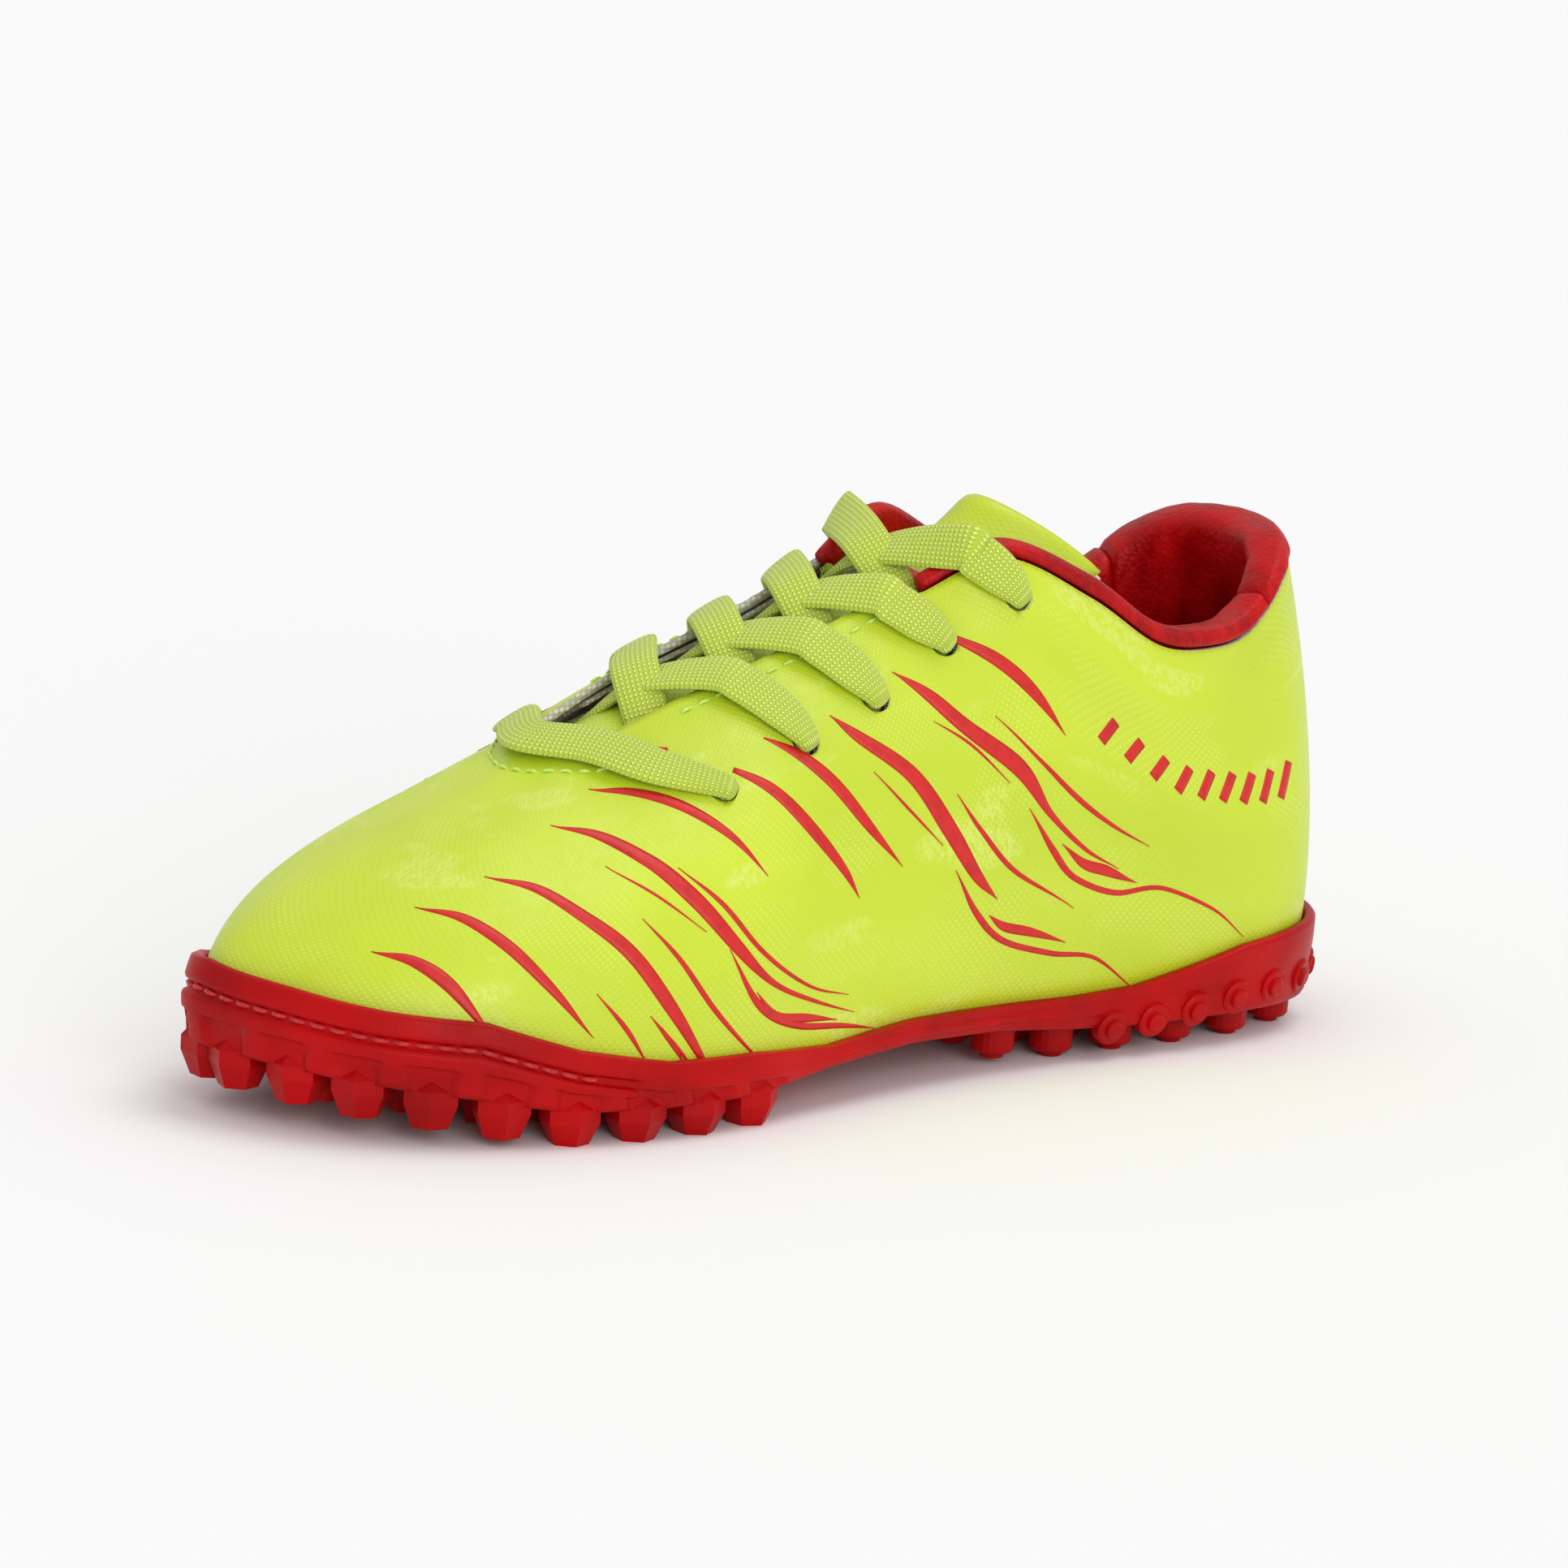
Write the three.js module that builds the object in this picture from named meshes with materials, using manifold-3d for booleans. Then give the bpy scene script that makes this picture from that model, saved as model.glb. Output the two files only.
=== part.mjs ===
// Junior artificial-turf football boot, left foot, laced, as an assembly of its real pieces.
// Millimetres, +Z up. The toe points to -Y, the heel to +Y and the outer side of the foot to +X.
import * as THREE from "three";
import { mergeVertices } from "three/addons/utils/BufferGeometryUtils.js";
import Module from "manifold-3d";

const wasm = await Module();
wasm.setup();

// ---------------------------------------------------------------- driving dimensions
const UPPER_LENGTH = 214.5; // feather line, toe tip to heel, where the upper turns under
const BALL_WIDTH = 76.3; // feather line across the ball of the foot
const COLLAR_HEIGHT = 86; // top of the heel tab above the ground
const GAP = 0.3; // clearance between two pieces that touch in the real boot
const UPPER_THICKNESS = 1.4; // coated synthetic with its textile backing
const RAND_THICKNESS = 2; // wall of the rubber cup sole
const BOARD_THICKNESS = 1.6;
const SOCKLINER_THICKNESS = 3;
const LUG_WIDTH = 9.2; // faceted forefoot lug, across its corners at the root
const LUG_HEIGHT = 5.8;
const LUG_PITCH = 11.8; // spacing of the lugs
const STUD_DIAMETER = 7.4; // round heel stud at its root
const STUD_PITCH = 12; // spacing of the heel studs
const EYELET_DIAMETER = 4.8;
const LACE_DIAMETER = 2.1; // the flat lace drawn together where it passes an eyelet
const EYESTAY_THICKNESS = 0.8;
const COUNTER_THICKNESS = 1.5;
const PUFF_THICKNESS = 1;
const LINING_THICKNESS = 0.9;
const PAD_THICKNESS = 5;
const TONGUE_THICKNESS = 4.4;
const TONGUE_SKIN = 1;
const TONGUE_HALF_WIDTH = 15.5;
const THREAD_DIAMETER = 0.7;
const AGLET_LENGTH = 12;
const FLEX_LIMIT = 30; // degrees that the forefoot bends up at the ball
const FLEX_ALONG = 0.254; // place of the bending line on the feather line
const FLEX_HEIGHT = 13; // height of the bending line, at the top of the sockliner

// ---------------------------------------------------------------- the shape of the last
// One row for each station from the toe tip, round the outer side, to the middle of the heel.
// along, topAlong: place of the feather line and of the top line, percent of UPPER_LENGTH.
// outer, inner, topHalf: half widths, percent of BALL_WIDTH. lean, reach: how far the wall bulges
// over the feather line and rounds in under the top line, percent of BALL_WIDTH.
// top, rise, drop: height of the top line, and length of the two bulges, percent of COLLAR_HEIGHT.
// foot, rand, under: heights of the feather line, of the rubber wall and of the sole's underside.
const COLUMNS = [
  ...["along", "outer", "inner", "foot", "rand", "under"],
  ...["topAlong", "topHalf", "top", "lean", "rise", "reach", "drop"],
];
const ROWS = [
  [0.4, -5.2, 5.2, 14.0, 24.2, 11.2, 28.7, 0.0, 63.8, 7.0, 24.5, 37.5, 17.5],
  [2.8, 15.0, 15.5, 13.3, 23.0, 10.6, 28.8, 3.8, 63.9, 8.2, 25.2, 34.5, 16.5],
  [6.8, 31.0, 22.0, 12.0, 21.4, 9.6, 29.1, 6.8, 64.2, 8.2, 25.2, 30.5, 14.5],
  [12.8, 42.8, 32.0, 10.5, 20.2, 8.0, 30.1, 9.0, 65.0, 6.2, 26.0, 27.0, 12.8],
  [19.8, 49.8, 40.5, 9.0, 15.6, 5.5, 32.2, 10.8, 67.0, 3.4, 26.2, 25.0, 11.5],
  [27.3, 53.2, 44.5, 8.0, 12.8, 5.2, 36.1, 12.3, 71.4, 2.2, 26.2, 25.5, 10.0],
  [35.2, 52.3, 43.8, 7.6, 12.4, 5.2, 41.7, 13.7, 77.0, 2.3, 26.8, 26.5, 9.0],
  [44.1, 46.7, 39.6, 9.2, 10.8, 7.0, 47.8, 14.2, 82.7, 3.2, 28.0, 26.0, 11.5],
  [53.4, 41.2, 35.4, 10.4, 12.2, 7.9, 53.8, 15.0, 89.0, 8.5, 30.0, 24.6, 14.8],
  [62.7, 37.8, 33.0, 10.2, 12.0, 7.3, 58.8, 16.4, 95.6, 13.6, 32.0, 21.0, 17.4],
  [70.6, 37.1, 32.9, 9.9, 11.8, 5.8, 65.0, 23.4, 103.0, 12.6, 31.2, 9.9, 22.0],
  [76.7, 37.3, 33.3, 10.0, 12.4, 5.2, 72.0, 31.0, 95.6, 9.4, 29.1, 2.4, 26.4],
  [82.3, 37.8, 33.7, 10.0, 15.0, 5.2, 78.1, 34.8, 85.6, 8.1, 26.7, 0.0, 24.8],
  [87.4, 37.4, 34.0, 10.0, 17.4, 5.2, 83.7, 34.5, 83.5, 6.5, 25.6, -1.3, 23.4],
  [92.3, 35.1, 32.4, 10.0, 18.4, 5.2, 88.3, 32.0, 85.6, 5.8, 25.7, 0.3, 23.3],
  [96.4, 28.7, 26.6, 10.0, 18.8, 5.2, 92.5, 27.1, 93.8, 5.6, 26.4, 4.3, 24.5],
  [99.1, 16.7, 15.8, 10.0, 19.0, 5.2, 95.6, 17.1, 99.1, 7.1, 27.0, 8.3, 27.1],
  [100.0, 0.0, 0.0, 10.0, 19.0, 5.2, 97.2, 0.0, 100.4, 8.6, 27.0, 11.1, 28.6],
];
const LAST = ROWS.length - 1; // the station at the middle of the heel
const AROUND = 2 * LAST; // stations round the whole boot, outer side first
const THROAT_SHIFT = 4; // the throat starts this far to the inner side, and runs to the middle
const THROAT_START = 0.287;
const THROAT_END = 0.7;

const STATIONS = ROWS.map((row) => Object.fromEntries(row.map((value, i) => [COLUMNS[i], value])));
const lengthwise = (share) => (share - 0.5) * UPPER_LENGTH;
const widthwise = (percent) => (percent / 100) * BALL_WIDTH;
const upward = (percent) => (percent / 100) * COLLAR_HEIGHT;
const mix = THREE.MathUtils.lerp;
const ease = (value, from, to) => THREE.MathUtils.smoothstep(value, from, to);

// Middle of the throat, sideways, at a place along the boot.
function throatMiddle(share) {
  const left = (THROAT_END - share) / (THROAT_END - THROAT_START);
  return -THROAT_SHIFT * THREE.MathUtils.clamp(left, 0, 1);
}

// A station counted round the boot: its row, and its side, +1 outer and -1 inner.
function station(index) {
  const i = (index + AROUND) % AROUND;
  return i <= LAST ? { row: STATIONS[i], side: 1 } : { row: STATIONS[AROUND - i], side: -1 };
}

function featherPoint(index) {
  const { row, side } = station(index);
  const x = side > 0 ? widthwise(row.outer) : -widthwise(row.inner);
  return new THREE.Vector3(x, lengthwise(row.along / 100), row.foot);
}

function topPoint(index) {
  const { row, side } = station(index);
  const x = throatMiddle(row.topAlong / 100) + side * widthwise(row.topHalf);
  return new THREE.Vector3(x, lengthwise(row.topAlong / 100), upward(row.top));
}

// Outward direction in plan at a station.
function outward(index) {
  const along = featherPoint(index + 1).sub(featherPoint(index - 1));
  return new THREE.Vector3(along.y, -along.x, 0).normalize();
}

function lowerBulge(index) {
  const { row } = station(index);
  const sideways = outward(index).multiplyScalar(widthwise(row.lean));
  return featherPoint(index).add(sideways).add(new THREE.Vector3(0, 0, upward(row.rise)));
}

function upperBulge(index) {
  const { row } = station(index);
  const sideways = outward(index).multiplyScalar(widthwise(row.reach));
  return topPoint(index).add(sideways).sub(new THREE.Vector3(0, 0, upward(row.drop)));
}

const ring = (pointAt) => {
  const points = Array.from({ length: AROUND }, (_, i) => pointAt(i));
  return new THREE.CatmullRomCurve3(points, true, "catmullrom", 0.5);
};
const RINGS = [featherPoint, lowerBulge, upperBulge, topPoint].map(ring);

// The outside of the upper: u counts stations round the boot, v runs from feather line to top line.
function skin(u, v) {
  const at = (((u / AROUND) % 1) + 1) % 1;
  const w = 1 - v;
  const weights = [w * w * w, 3 * w * w * v, 3 * w * v * v, v * v * v];
  const point = new THREE.Vector3();
  RINGS.forEach((curve, i) => point.addScaledVector(curve.getPoint(at), weights[i]));
  return point;
}

function skinNormal(u, v) {
  const du = skin(u + 0.05, v).sub(skin(u - 0.05, v));
  const dv = skin(u, v + 0.02).sub(skin(u, v - 0.02));
  return du.cross(dv).normalize();
}

// A point this far outside (+) or inside (-) the upper's outer face.
const onLast = (u, v, offset) => skin(u, v).addScaledVector(skinNormal(u, v), offset);

// A value of the station rows between stations, such as the height of the rand.
function rowValue(name, u) {
  const i = Math.floor(u);
  return mix(station(i).row[name], station(i + 1).row[name], u - i);
}

// How far up the wall a height is reached.
function wallShare(u, height) {
  let low = 0;
  let high = 0.6;
  for (let i = 0; i < 20; i++) {
    const middle = (low + high) / 2;
    if (skin(u, middle).z < height) low = middle;
    else high = middle;
  }
  return low;
}

// ---------------------------------------------------------------- solids
// A closed solid from points and triangles, with shared corners merged and its faces turned out.
function closedSolid(points, triangles) {
  const geometry = new THREE.BufferGeometry();
  const numbers = points.flatMap((point) => point.toArray());
  geometry.setAttribute("position", new THREE.Float32BufferAttribute(numbers, 3));
  geometry.setIndex(triangles.flat());
  const merged = mergeVertices(geometry, 1e-3);
  const corner = new THREE.Vector3();
  const at = (index) => corner.fromBufferAttribute(merged.attributes.position, index).clone();
  let faces = [];
  let volume = 0;
  for (let i = 0; i < merged.index.count; i += 3) {
    const face = [0, 1, 2].map((k) => merged.index.getX(i + k));
    if (new Set(face).size < 3) continue;
    const [a, b, c] = face.map(at);
    volume += a.dot(b.cross(c));
    faces.push(face);
  }
  if (volume < 0) faces = faces.map(([a, b, c]) => [a, c, b]);
  merged.setIndex(faces.flat());
  return merged;
}

// Triangles that close the end of a section, wound the way its corners are counted.
function flatCap(outline) {
  const turn = Math.sign(THREE.ShapeUtils.area(outline));
  return THREE.ShapeUtils.triangulateShape(outline, []).map(([a, b, c]) => {
    const corners = [outline[a], outline[b], outline[c]];
    return Math.sign(THREE.ShapeUtils.area(corners)) === turn ? [a, b, c] : [a, c, b];
  });
}

// The same for a thin bent section of this many corners, whose two faces have as many each.
function stripCap(corners) {
  const triangles = [];
  for (let i = 0; i < corners / 2 - 1; i++) {
    const facing = corners - 1 - i;
    triangles.push([i, i + 1, facing - 1], [i, facing - 1, facing]);
  }
  return triangles;
}

// A solid through sections whose corners match one to one. Without triangles for its two ends the
// last section joins the first.
function loft(sections, cap) {
  const n = sections[0].length;
  const triangles = [];
  const strips = cap ? sections.length - 1 : sections.length;
  for (let j = 0; j < strips; j++) {
    const here = j * n;
    const there = ((j + 1) % sections.length) * n;
    for (let i = 0; i < n; i++) {
      const k = (i + 1) % n;
      triangles.push([here + i, there + i, there + k], [here + i, there + k, here + k]);
    }
  }
  if (cap) {
    const end = (sections.length - 1) * n;
    for (const [a, b, c] of cap) triangles.push([a, b, c], [end + a, end + c, end + b]);
  }
  return closedSolid(sections.flat(), triangles);
}

const steps = (from, to, count) => Array.from({ length: count + 1 }, (_, i) => mix(from, to, i / count));

// A layer of the upper between two offsets, over a stretch u0..u1 round the boot and v0..v1 up it.
// Leaving out u0 and u1 takes it all the way round. sink moves it further in, station by station.
function layer({ u0, u1, v0, v1, outer, inner, along = 12, up = 8, sink = () => 0 }) {
  const heights = steps(0, 1, up);
  const outline = [
    ...heights.map((v) => new THREE.Vector2(v, outer)),
    ...heights.toReversed().map((v) => new THREE.Vector2(v, inner)),
  ];
  const whole = u0 === undefined;
  const stations = whole ? steps(0, AROUND, along).slice(0, -1) : steps(u0, u1, along);
  const low = typeof v0 === "function" ? v0 : () => v0;
  const high = typeof v1 === "function" ? v1 : () => v1;
  const sections = stations.map((u) =>
    outline.map((corner) => onLast(u, mix(low(u), high(u), corner.x), corner.y - sink(u))),
  );
  return loft(sections, whole ? undefined : stripCap(outline.length));
}

function toManifold(geometry) {
  return new wasm.Manifold(
    new wasm.Mesh({
      numProp: 3,
      vertProperties: new Float32Array(geometry.attributes.position.array),
      triVerts: new Uint32Array(geometry.index.array),
    }),
  );
}

function bareCopy(geometry) {
  const copy = geometry.index ? geometry.toNonIndexed() : geometry.clone();
  copy.deleteAttribute("normal");
  copy.deleteAttribute("uv");
  return copy;
}

// A three.js primitive as a manifold solid.
const primitive = (geometry) => toManifold(mergeVertices(bareCopy(geometry), 1e-4));

function fromManifold(solid) {
  const mesh = solid.getMesh();
  const geometry = new THREE.BufferGeometry();
  geometry.setAttribute("position", new THREE.BufferAttribute(mesh.vertProperties, 3));
  geometry.setIndex(new THREE.BufferAttribute(mesh.triVerts, 1));
  return geometry;
}

// ---------------------------------------------------------------- cutters
const FAR = 300; // reaches past the boot every way
const flexY = lengthwise(FLEX_ALONG);
const HALF_GAP = GAP / 2;

// A slab right across the boot, from a side view outline of [y, z] corners, between two x values.
function slab(corners, x0 = -FAR, x1 = FAR) {
  const shape = new THREE.Shape(corners.map(([y, z]) => new THREE.Vector2(y, z)));
  const geometry = new THREE.ExtrudeGeometry(shape, { depth: x1 - x0, bevelEnabled: false });
  const turn = new THREE.Matrix4().makeBasis(
    new THREE.Vector3(0, 1, 0),
    new THREE.Vector3(0, 0, 1),
    new THREE.Vector3(1, 0, 0),
  );
  geometry.applyMatrix4(turn).translate(x0, 0, 0);
  return primitive(geometry);
}

// Over the bending line the forefoot leans forward by the flex angle, which leaves a wedge of soft
// upper that creases when the toe comes up. Below that line the two halves only part.
const wedge = Math.tan(THREE.MathUtils.degToRad(FLEX_LIMIT + 1));
const frontTopY = flexY - HALF_GAP - (FAR - FLEX_HEIGHT) * wedge;
const frontSide = slab([
  [-FAR, -FAR],
  [flexY - HALF_GAP, -FAR],
  [flexY - HALF_GAP, FLEX_HEIGHT],
  [frontTopY, FAR],
  [-FAR, FAR],
]);
const rearSide = slab([
  [flexY + HALF_GAP, -FAR],
  [FAR, -FAR],
  [FAR, FAR],
  [flexY + HALF_GAP, FAR],
]);
const flexWedge = slab([
  [flexY - GAP, FLEX_HEIGHT + 3 * GAP],
  [flexY - HALF_GAP, FLEX_HEIGHT + 3 * GAP],
  [flexY - HALF_GAP, FAR],
  [frontTopY + GAP, FAR],
]);

// ---------------------------------------------------------------- outsole
// Rubber cup: a floor under the insole board and a wall that the upper stands in.
function outsoleCup() {
  const wallOut = GAP + RAND_THICKNESS;
  const chamfer = 1;
  const rise = [0.35, 0.7, 1];
  const across = steps(0, 1, 5);
  const rows = steps(0, LAST, 2 * LAST);
  const points = [];
  const triangles = [];
  const quad = (a, b, c, d) => triangles.push([a, b, c], [a, c, d]);
  const add = (point) => points.push(point) - 1;

  // The wall's section at a station, from the floor's inner corner over the top to the underside.
  function wall(u) {
    const top = wallShare(u, rowValue("rand", u));
    const foot = skin(u, 0);
    const sideways = skinNormal(u, 0).setZ(0).normalize();
    const beside = (offset, z) => foot.clone().addScaledVector(sideways, offset).setZ(z);
    const under = rowValue("under", u);
    return [
      beside(GAP, foot.z - GAP),
      ...rise.map((share) => onLast(u, share * top, GAP)),
      ...rise.toReversed().map((share) => onLast(u, share * top, wallOut)),
      beside(wallOut, under + chamfer),
      beside(wallOut - chamfer, under),
    ];
  }

  const outline = steps(0, AROUND, 2 * AROUND).slice(0, -1).map((u) => wall(u).map(add));
  const n = outline[0].length;
  outline.forEach((here, j) => {
    const there = outline[(j + 1) % outline.length];
    for (let i = 0; i < n - 1; i++) quad(here[i], there[i], there[i + 1], here[i + 1]);
  });

  // Floor (corner 0) and underside (last corner), strip by strip from the outer to the inner side.
  for (const corner of [0, n - 1]) {
    const grid = rows.map((u, j) => {
      const a = points[outline[j][corner]];
      const b = points[outline[(outline.length - j) % outline.length][corner]];
      return across.map((share) => add(a.clone().lerp(b, share)));
    });
    for (let j = 0; j < grid.length - 1; j++) {
      for (let i = 0; i < across.length - 1; i++) {
        const face = [grid[j][i], grid[j][i + 1], grid[j + 1][i + 1], grid[j + 1][i]];
        if (corner === 0) quad(...face);
        else quad(...face.toReversed());
      }
    }
  }
  return closedSolid(points, triangles);
}

// Half width and underside height of the sole at a place along the boot, on one side.
function soleAt(y, side) {
  let low = 0;
  let high = LAST;
  for (let i = 0; i < 24; i++) {
    const middle = (low + high) / 2;
    if (skin(side > 0 ? middle : AROUND - middle, 0).y < y) low = middle;
    else high = middle;
  }
  return { x: skin(side > 0 ? low : AROUND - low, 0).x, under: rowValue("under", low) };
}

// Places for studs in rows across the boot, from y0 to y1.
function studPlaces(y0, y1, pitch, margin) {
  const places = [];
  const count = Math.max(1, Math.round((y1 - y0) / pitch));
  steps(y0, y1, count).forEach((y, row) => {
    const outer = soleAt(y, 1);
    const inner = soleAt(y, -1);
    const left = inner.x + margin;
    const right = outer.x - margin;
    const across = Math.max(1, Math.round((right - left) / pitch));
    steps(left, right, across).forEach((x) => places.push({ x, y, row, under: outer.under }));
  });
  return places;
}

const ROOT_DEPTH = 1; // how far a stud's root goes into the sole

function stud(place, rootRadius, tipRadius, sides, turn) {
  const tip = Math.max(0, place.under - LUG_HEIGHT);
  const height = place.under + ROOT_DEPTH - tip;
  const body = new THREE.CylinderGeometry(rootRadius, tipRadius, height, sides);
  body.rotateY(turn).rotateX(Math.PI / 2).translate(place.x, place.y, tip + height / 2);
  return primitive(body);
}

const forefootStudEnd = flexY + 3.5 * LUG_PITCH;
const lugs = [
  ...studPlaces(flexY - 4.3 * LUG_PITCH, flexY - LUG_PITCH / 2, LUG_PITCH, LUG_WIDTH / 2),
  ...studPlaces(flexY + LUG_PITCH / 2, forefootStudEnd, LUG_PITCH, LUG_WIDTH / 2),
].map((place) => stud(place, LUG_WIDTH / 2, LUG_WIDTH * 0.33, 6, (place.row % 2) * (Math.PI / 6)));
const heelStudStart = lengthwise(0.65);
const heelStuds = studPlaces(heelStudStart, lengthwise(0.95), STUD_PITCH, STUD_DIAMETER / 2 + 1).map(
  (place) => stud(place, STUD_DIAMETER / 2, STUD_DIAMETER * 0.36, 10, 0),
);
const outsole = [...lugs, ...heelStuds].reduce((all, one) => all.add(one), toManifold(outsoleCup()));

// ---------------------------------------------------------------- footbed
// A flat layer inside the upper's foot, this far in from the feather line, from floor + z0 to + z1.
function footbed(inset, z0, z1) {
  const rows = steps(0, LAST, 2 * LAST).slice(1, -1);
  const edge = (u, z) => {
    const foot = skin(u, 0);
    const inwards = skinNormal(u, 0).setZ(0).normalize().multiplyScalar(-inset);
    return foot.add(inwards).setZ(foot.z + z);
  };
  const sections = rows.map((u) => [
    edge(u, z0),
    edge(AROUND - u, z0),
    edge(AROUND - u, z1),
    edge(u, z1),
  ]);
  return toManifold(loft(sections, stripCap(4)));
}
const BOARD_INSET = UPPER_THICKNESS + LINING_THICKNESS + COUNTER_THICKNESS + 3 * GAP;
const board = footbed(BOARD_INSET, 0, BOARD_THICKNESS);
const sockliner = footbed(BOARD_INSET, BOARD_THICKNESS + GAP, BOARD_THICKNESS + GAP + SOCKLINER_THICKNESS);

// ---------------------------------------------------------------- upper
const COLLAR_START = 9; // station where the collar's rolled edge begins
const UPPER_TOP = 0.945; // the upper ends this far up where the collar rolls over it
const stationFrom = (u) => Math.min(u, AROUND - u); // counted from the toe on either side
const upperTop = (u) => mix(1, UPPER_TOP, ease(stationFrom(u), COLLAR_START - 0.5, COLLAR_START));
const upperShell = toManifold(
  layer({ v0: 0, v1: upperTop, outer: 0, inner: -UPPER_THICKNESS, along: 2 * AROUND, up: 9 }),
);

// Eyelets, from the throat's front to the collar, nearer to the throat edge as they climb.
const EYELET_STATIONS = [5.5, 6.6, 7.65, 8.95, 10.05];
const EYELET_FRONT_SHARE = 0.69;
const EYELET_BACK_SHARE = 0.85;
const eyeletShare = (at) =>
  THREE.MathUtils.mapLinear(
    at,
    EYELET_STATIONS[0],
    EYELET_STATIONS.at(-1),
    EYELET_FRONT_SHARE,
    EYELET_BACK_SHARE,
  );
const eyeletAt = (at, side) => ({ u: side > 0 ? at : AROUND - at, v: eyeletShare(at), side });
const EYELETS = [1, -1].map((side) => EYELET_STATIONS.map((at) => eyeletAt(at, side)));
const eyeletHoles = EYELETS.flat().map(({ u, v }) => {
  const hole = new THREE.CylinderGeometry(EYELET_DIAMETER / 2, EYELET_DIAMETER / 2, 12, 10);
  const turn = new THREE.Quaternion().setFromUnitVectors(new THREE.Vector3(0, 1, 0), skinNormal(u, v));
  hole.applyQuaternion(turn).translate(...onLast(u, v, 0));
  return primitive(hole);
});
const punched = (solid) => eyeletHoles.reduce((rest, hole) => rest.subtract(hole), solid);

const HEEL_SEAM_Y = lengthwise(0.83);
const rectangle = (y0, y1) => [
  [y0, -FAR],
  [y1, -FAR],
  [y1, FAR],
  [y0, FAR],
];
const outerHalf = slab(rectangle(-FAR, FAR), 0, FAR);
const innerHalf = slab(rectangle(-FAR, FAR), -FAR, 0);
const beforeHeel = slab(rectangle(-FAR, HEEL_SEAM_Y - HALF_GAP));
const heelSide = slab(rectangle(HEEL_SEAM_Y + HALF_GAP, FAR));
const rearUpper = upperShell.intersect(rearSide);
const quarters = rearUpper.intersect(beforeHeel);

// ---------------------------------------------------------------- stiffeners and linings
const inside = -UPPER_THICKNESS - GAP;
const PUFF_END = 4; // station where the toe puff ends on each side
const puffLayer = layer({
  u0: -PUFF_END,
  u1: PUFF_END,
  v0: 0.05,
  v1: 0.42,
  outer: inside - HALF_GAP,
  inner: inside - HALF_GAP - PUFF_THICKNESS,
  along: 4 * PUFF_END,
  up: 5,
});
const toePuff = toManifold(puffLayer).intersect(frontSide);
const PAD_BOTTOM = 0.6;
const COUNTER_START = 12; // station where the heel counter begins on each side
const LINING_START = 7.5;
const BEHIND_BOARD = 0.06; // share of the wall that the insole board's edge takes up
const heelCounter = layer({
  u0: COUNTER_START,
  u1: AROUND - COUNTER_START,
  v0: BEHIND_BOARD,
  v1: PAD_BOTTOM - 0.03,
  outer: inside,
  inner: inside - COUNTER_THICKNESS,
  along: 2 * (AROUND - 2 * COUNTER_START),
  up: 5,
});
const quarterLining = layer({
  u0: LINING_START,
  u1: AROUND - LINING_START,
  v0: BEHIND_BOARD,
  v1: PAD_BOTTOM - 0.03,
  outer: inside,
  inner: inside - LINING_THICKNESS,
  along: 2 * (AROUND - 2 * LINING_START),
  up: 5,
  sink: (u) => (COUNTER_THICKNESS + GAP) * ease(stationFrom(u), COUNTER_START - 1.5, COUNTER_START - 0.5),
});

// Padded collar: a rolled edge that covers the upper's cut top, and a pad that swells inside it.
const PAD_FULL_FROM = 12; // station where the pad reaches its full depth and thickness
const ROLL_LOW = 0.9; // the plain roll in front starts this far up the wall
const ROLL_THICKNESS = 1.5;
const ROLL_OVER = UPPER_TOP + 0.007; // the roll passes over the upper's cut edge here
const padFace = inside - 0.35;
function collarPad(u0, u1, along) {
  const section = (low, thick) => [
    [low, padFace],
    [mix(low, ROLL_OVER, 0.5), padFace],
    [ROLL_OVER, padFace],
    [ROLL_OVER + 0.005, -0.2],
    [0.975, 0.1],
    [0.992, -0.6],
    [1, -1.5],
    [0.99, padFace - 0.75 * thick],
    [0.95, padFace - thick],
    [mix(low, 0.95, 0.6), padFace - thick],
    [mix(low, 0.95, 0.25), padFace - 0.8 * thick],
    [low, padFace - 0.25 * thick],
  ];
  const flat = section(PAD_BOTTOM, PAD_THICKNESS).map(
    ([v, offset]) => new THREE.Vector2(100 * v, offset),
  );
  const sections = steps(u0, u1, along).map((u) => {
    const padded = ease(stationFrom(u), PAD_FULL_FROM - 1.5, PAD_FULL_FROM);
    const low = mix(ROLL_LOW, PAD_BOTTOM, padded);
    const thick = mix(ROLL_THICKNESS, PAD_THICKNESS, padded);
    return section(low, thick).map(([v, offset]) => onLast(u, v, offset));
  });
  return loft(sections, flatCap(flat));
}
const COLLAR_SPLIT = 14.5; // station where the side pads meet the heel pad
const SPLIT_GAP = 0.03; // of a station
const SIDE_PAD_STEPS = 2 * (COLLAR_SPLIT - COLLAR_START);

// The eyestay: a strip sewn inside each throat edge, which carries the eyelets.
const STRIP_START = 5;
const STRIP_END = 10.5;
const STRIP_BELOW = 0.075; // share of the wall, from an eyelet's middle down to the strip's edge
const stripTop = (u) =>
  mix(0.985, ROLL_LOW - 0.015, ease(stationFrom(u), COLLAR_START - 0.5, COLLAR_START));
function eyestay(side) {
  const u0 = side > 0 ? STRIP_START : AROUND - STRIP_END;
  const strip = layer({
    u0,
    u1: u0 + STRIP_END - STRIP_START,
    v0: (u) => eyeletShare(stationFrom(u)) - STRIP_BELOW,
    v1: stripTop,
    outer: inside - HALF_GAP,
    inner: inside - HALF_GAP - EYESTAY_THICKNESS,
    along: 2 * (STRIP_END - STRIP_START),
    up: 4,
  });
  return punched(toManifold(strip));
}

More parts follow.
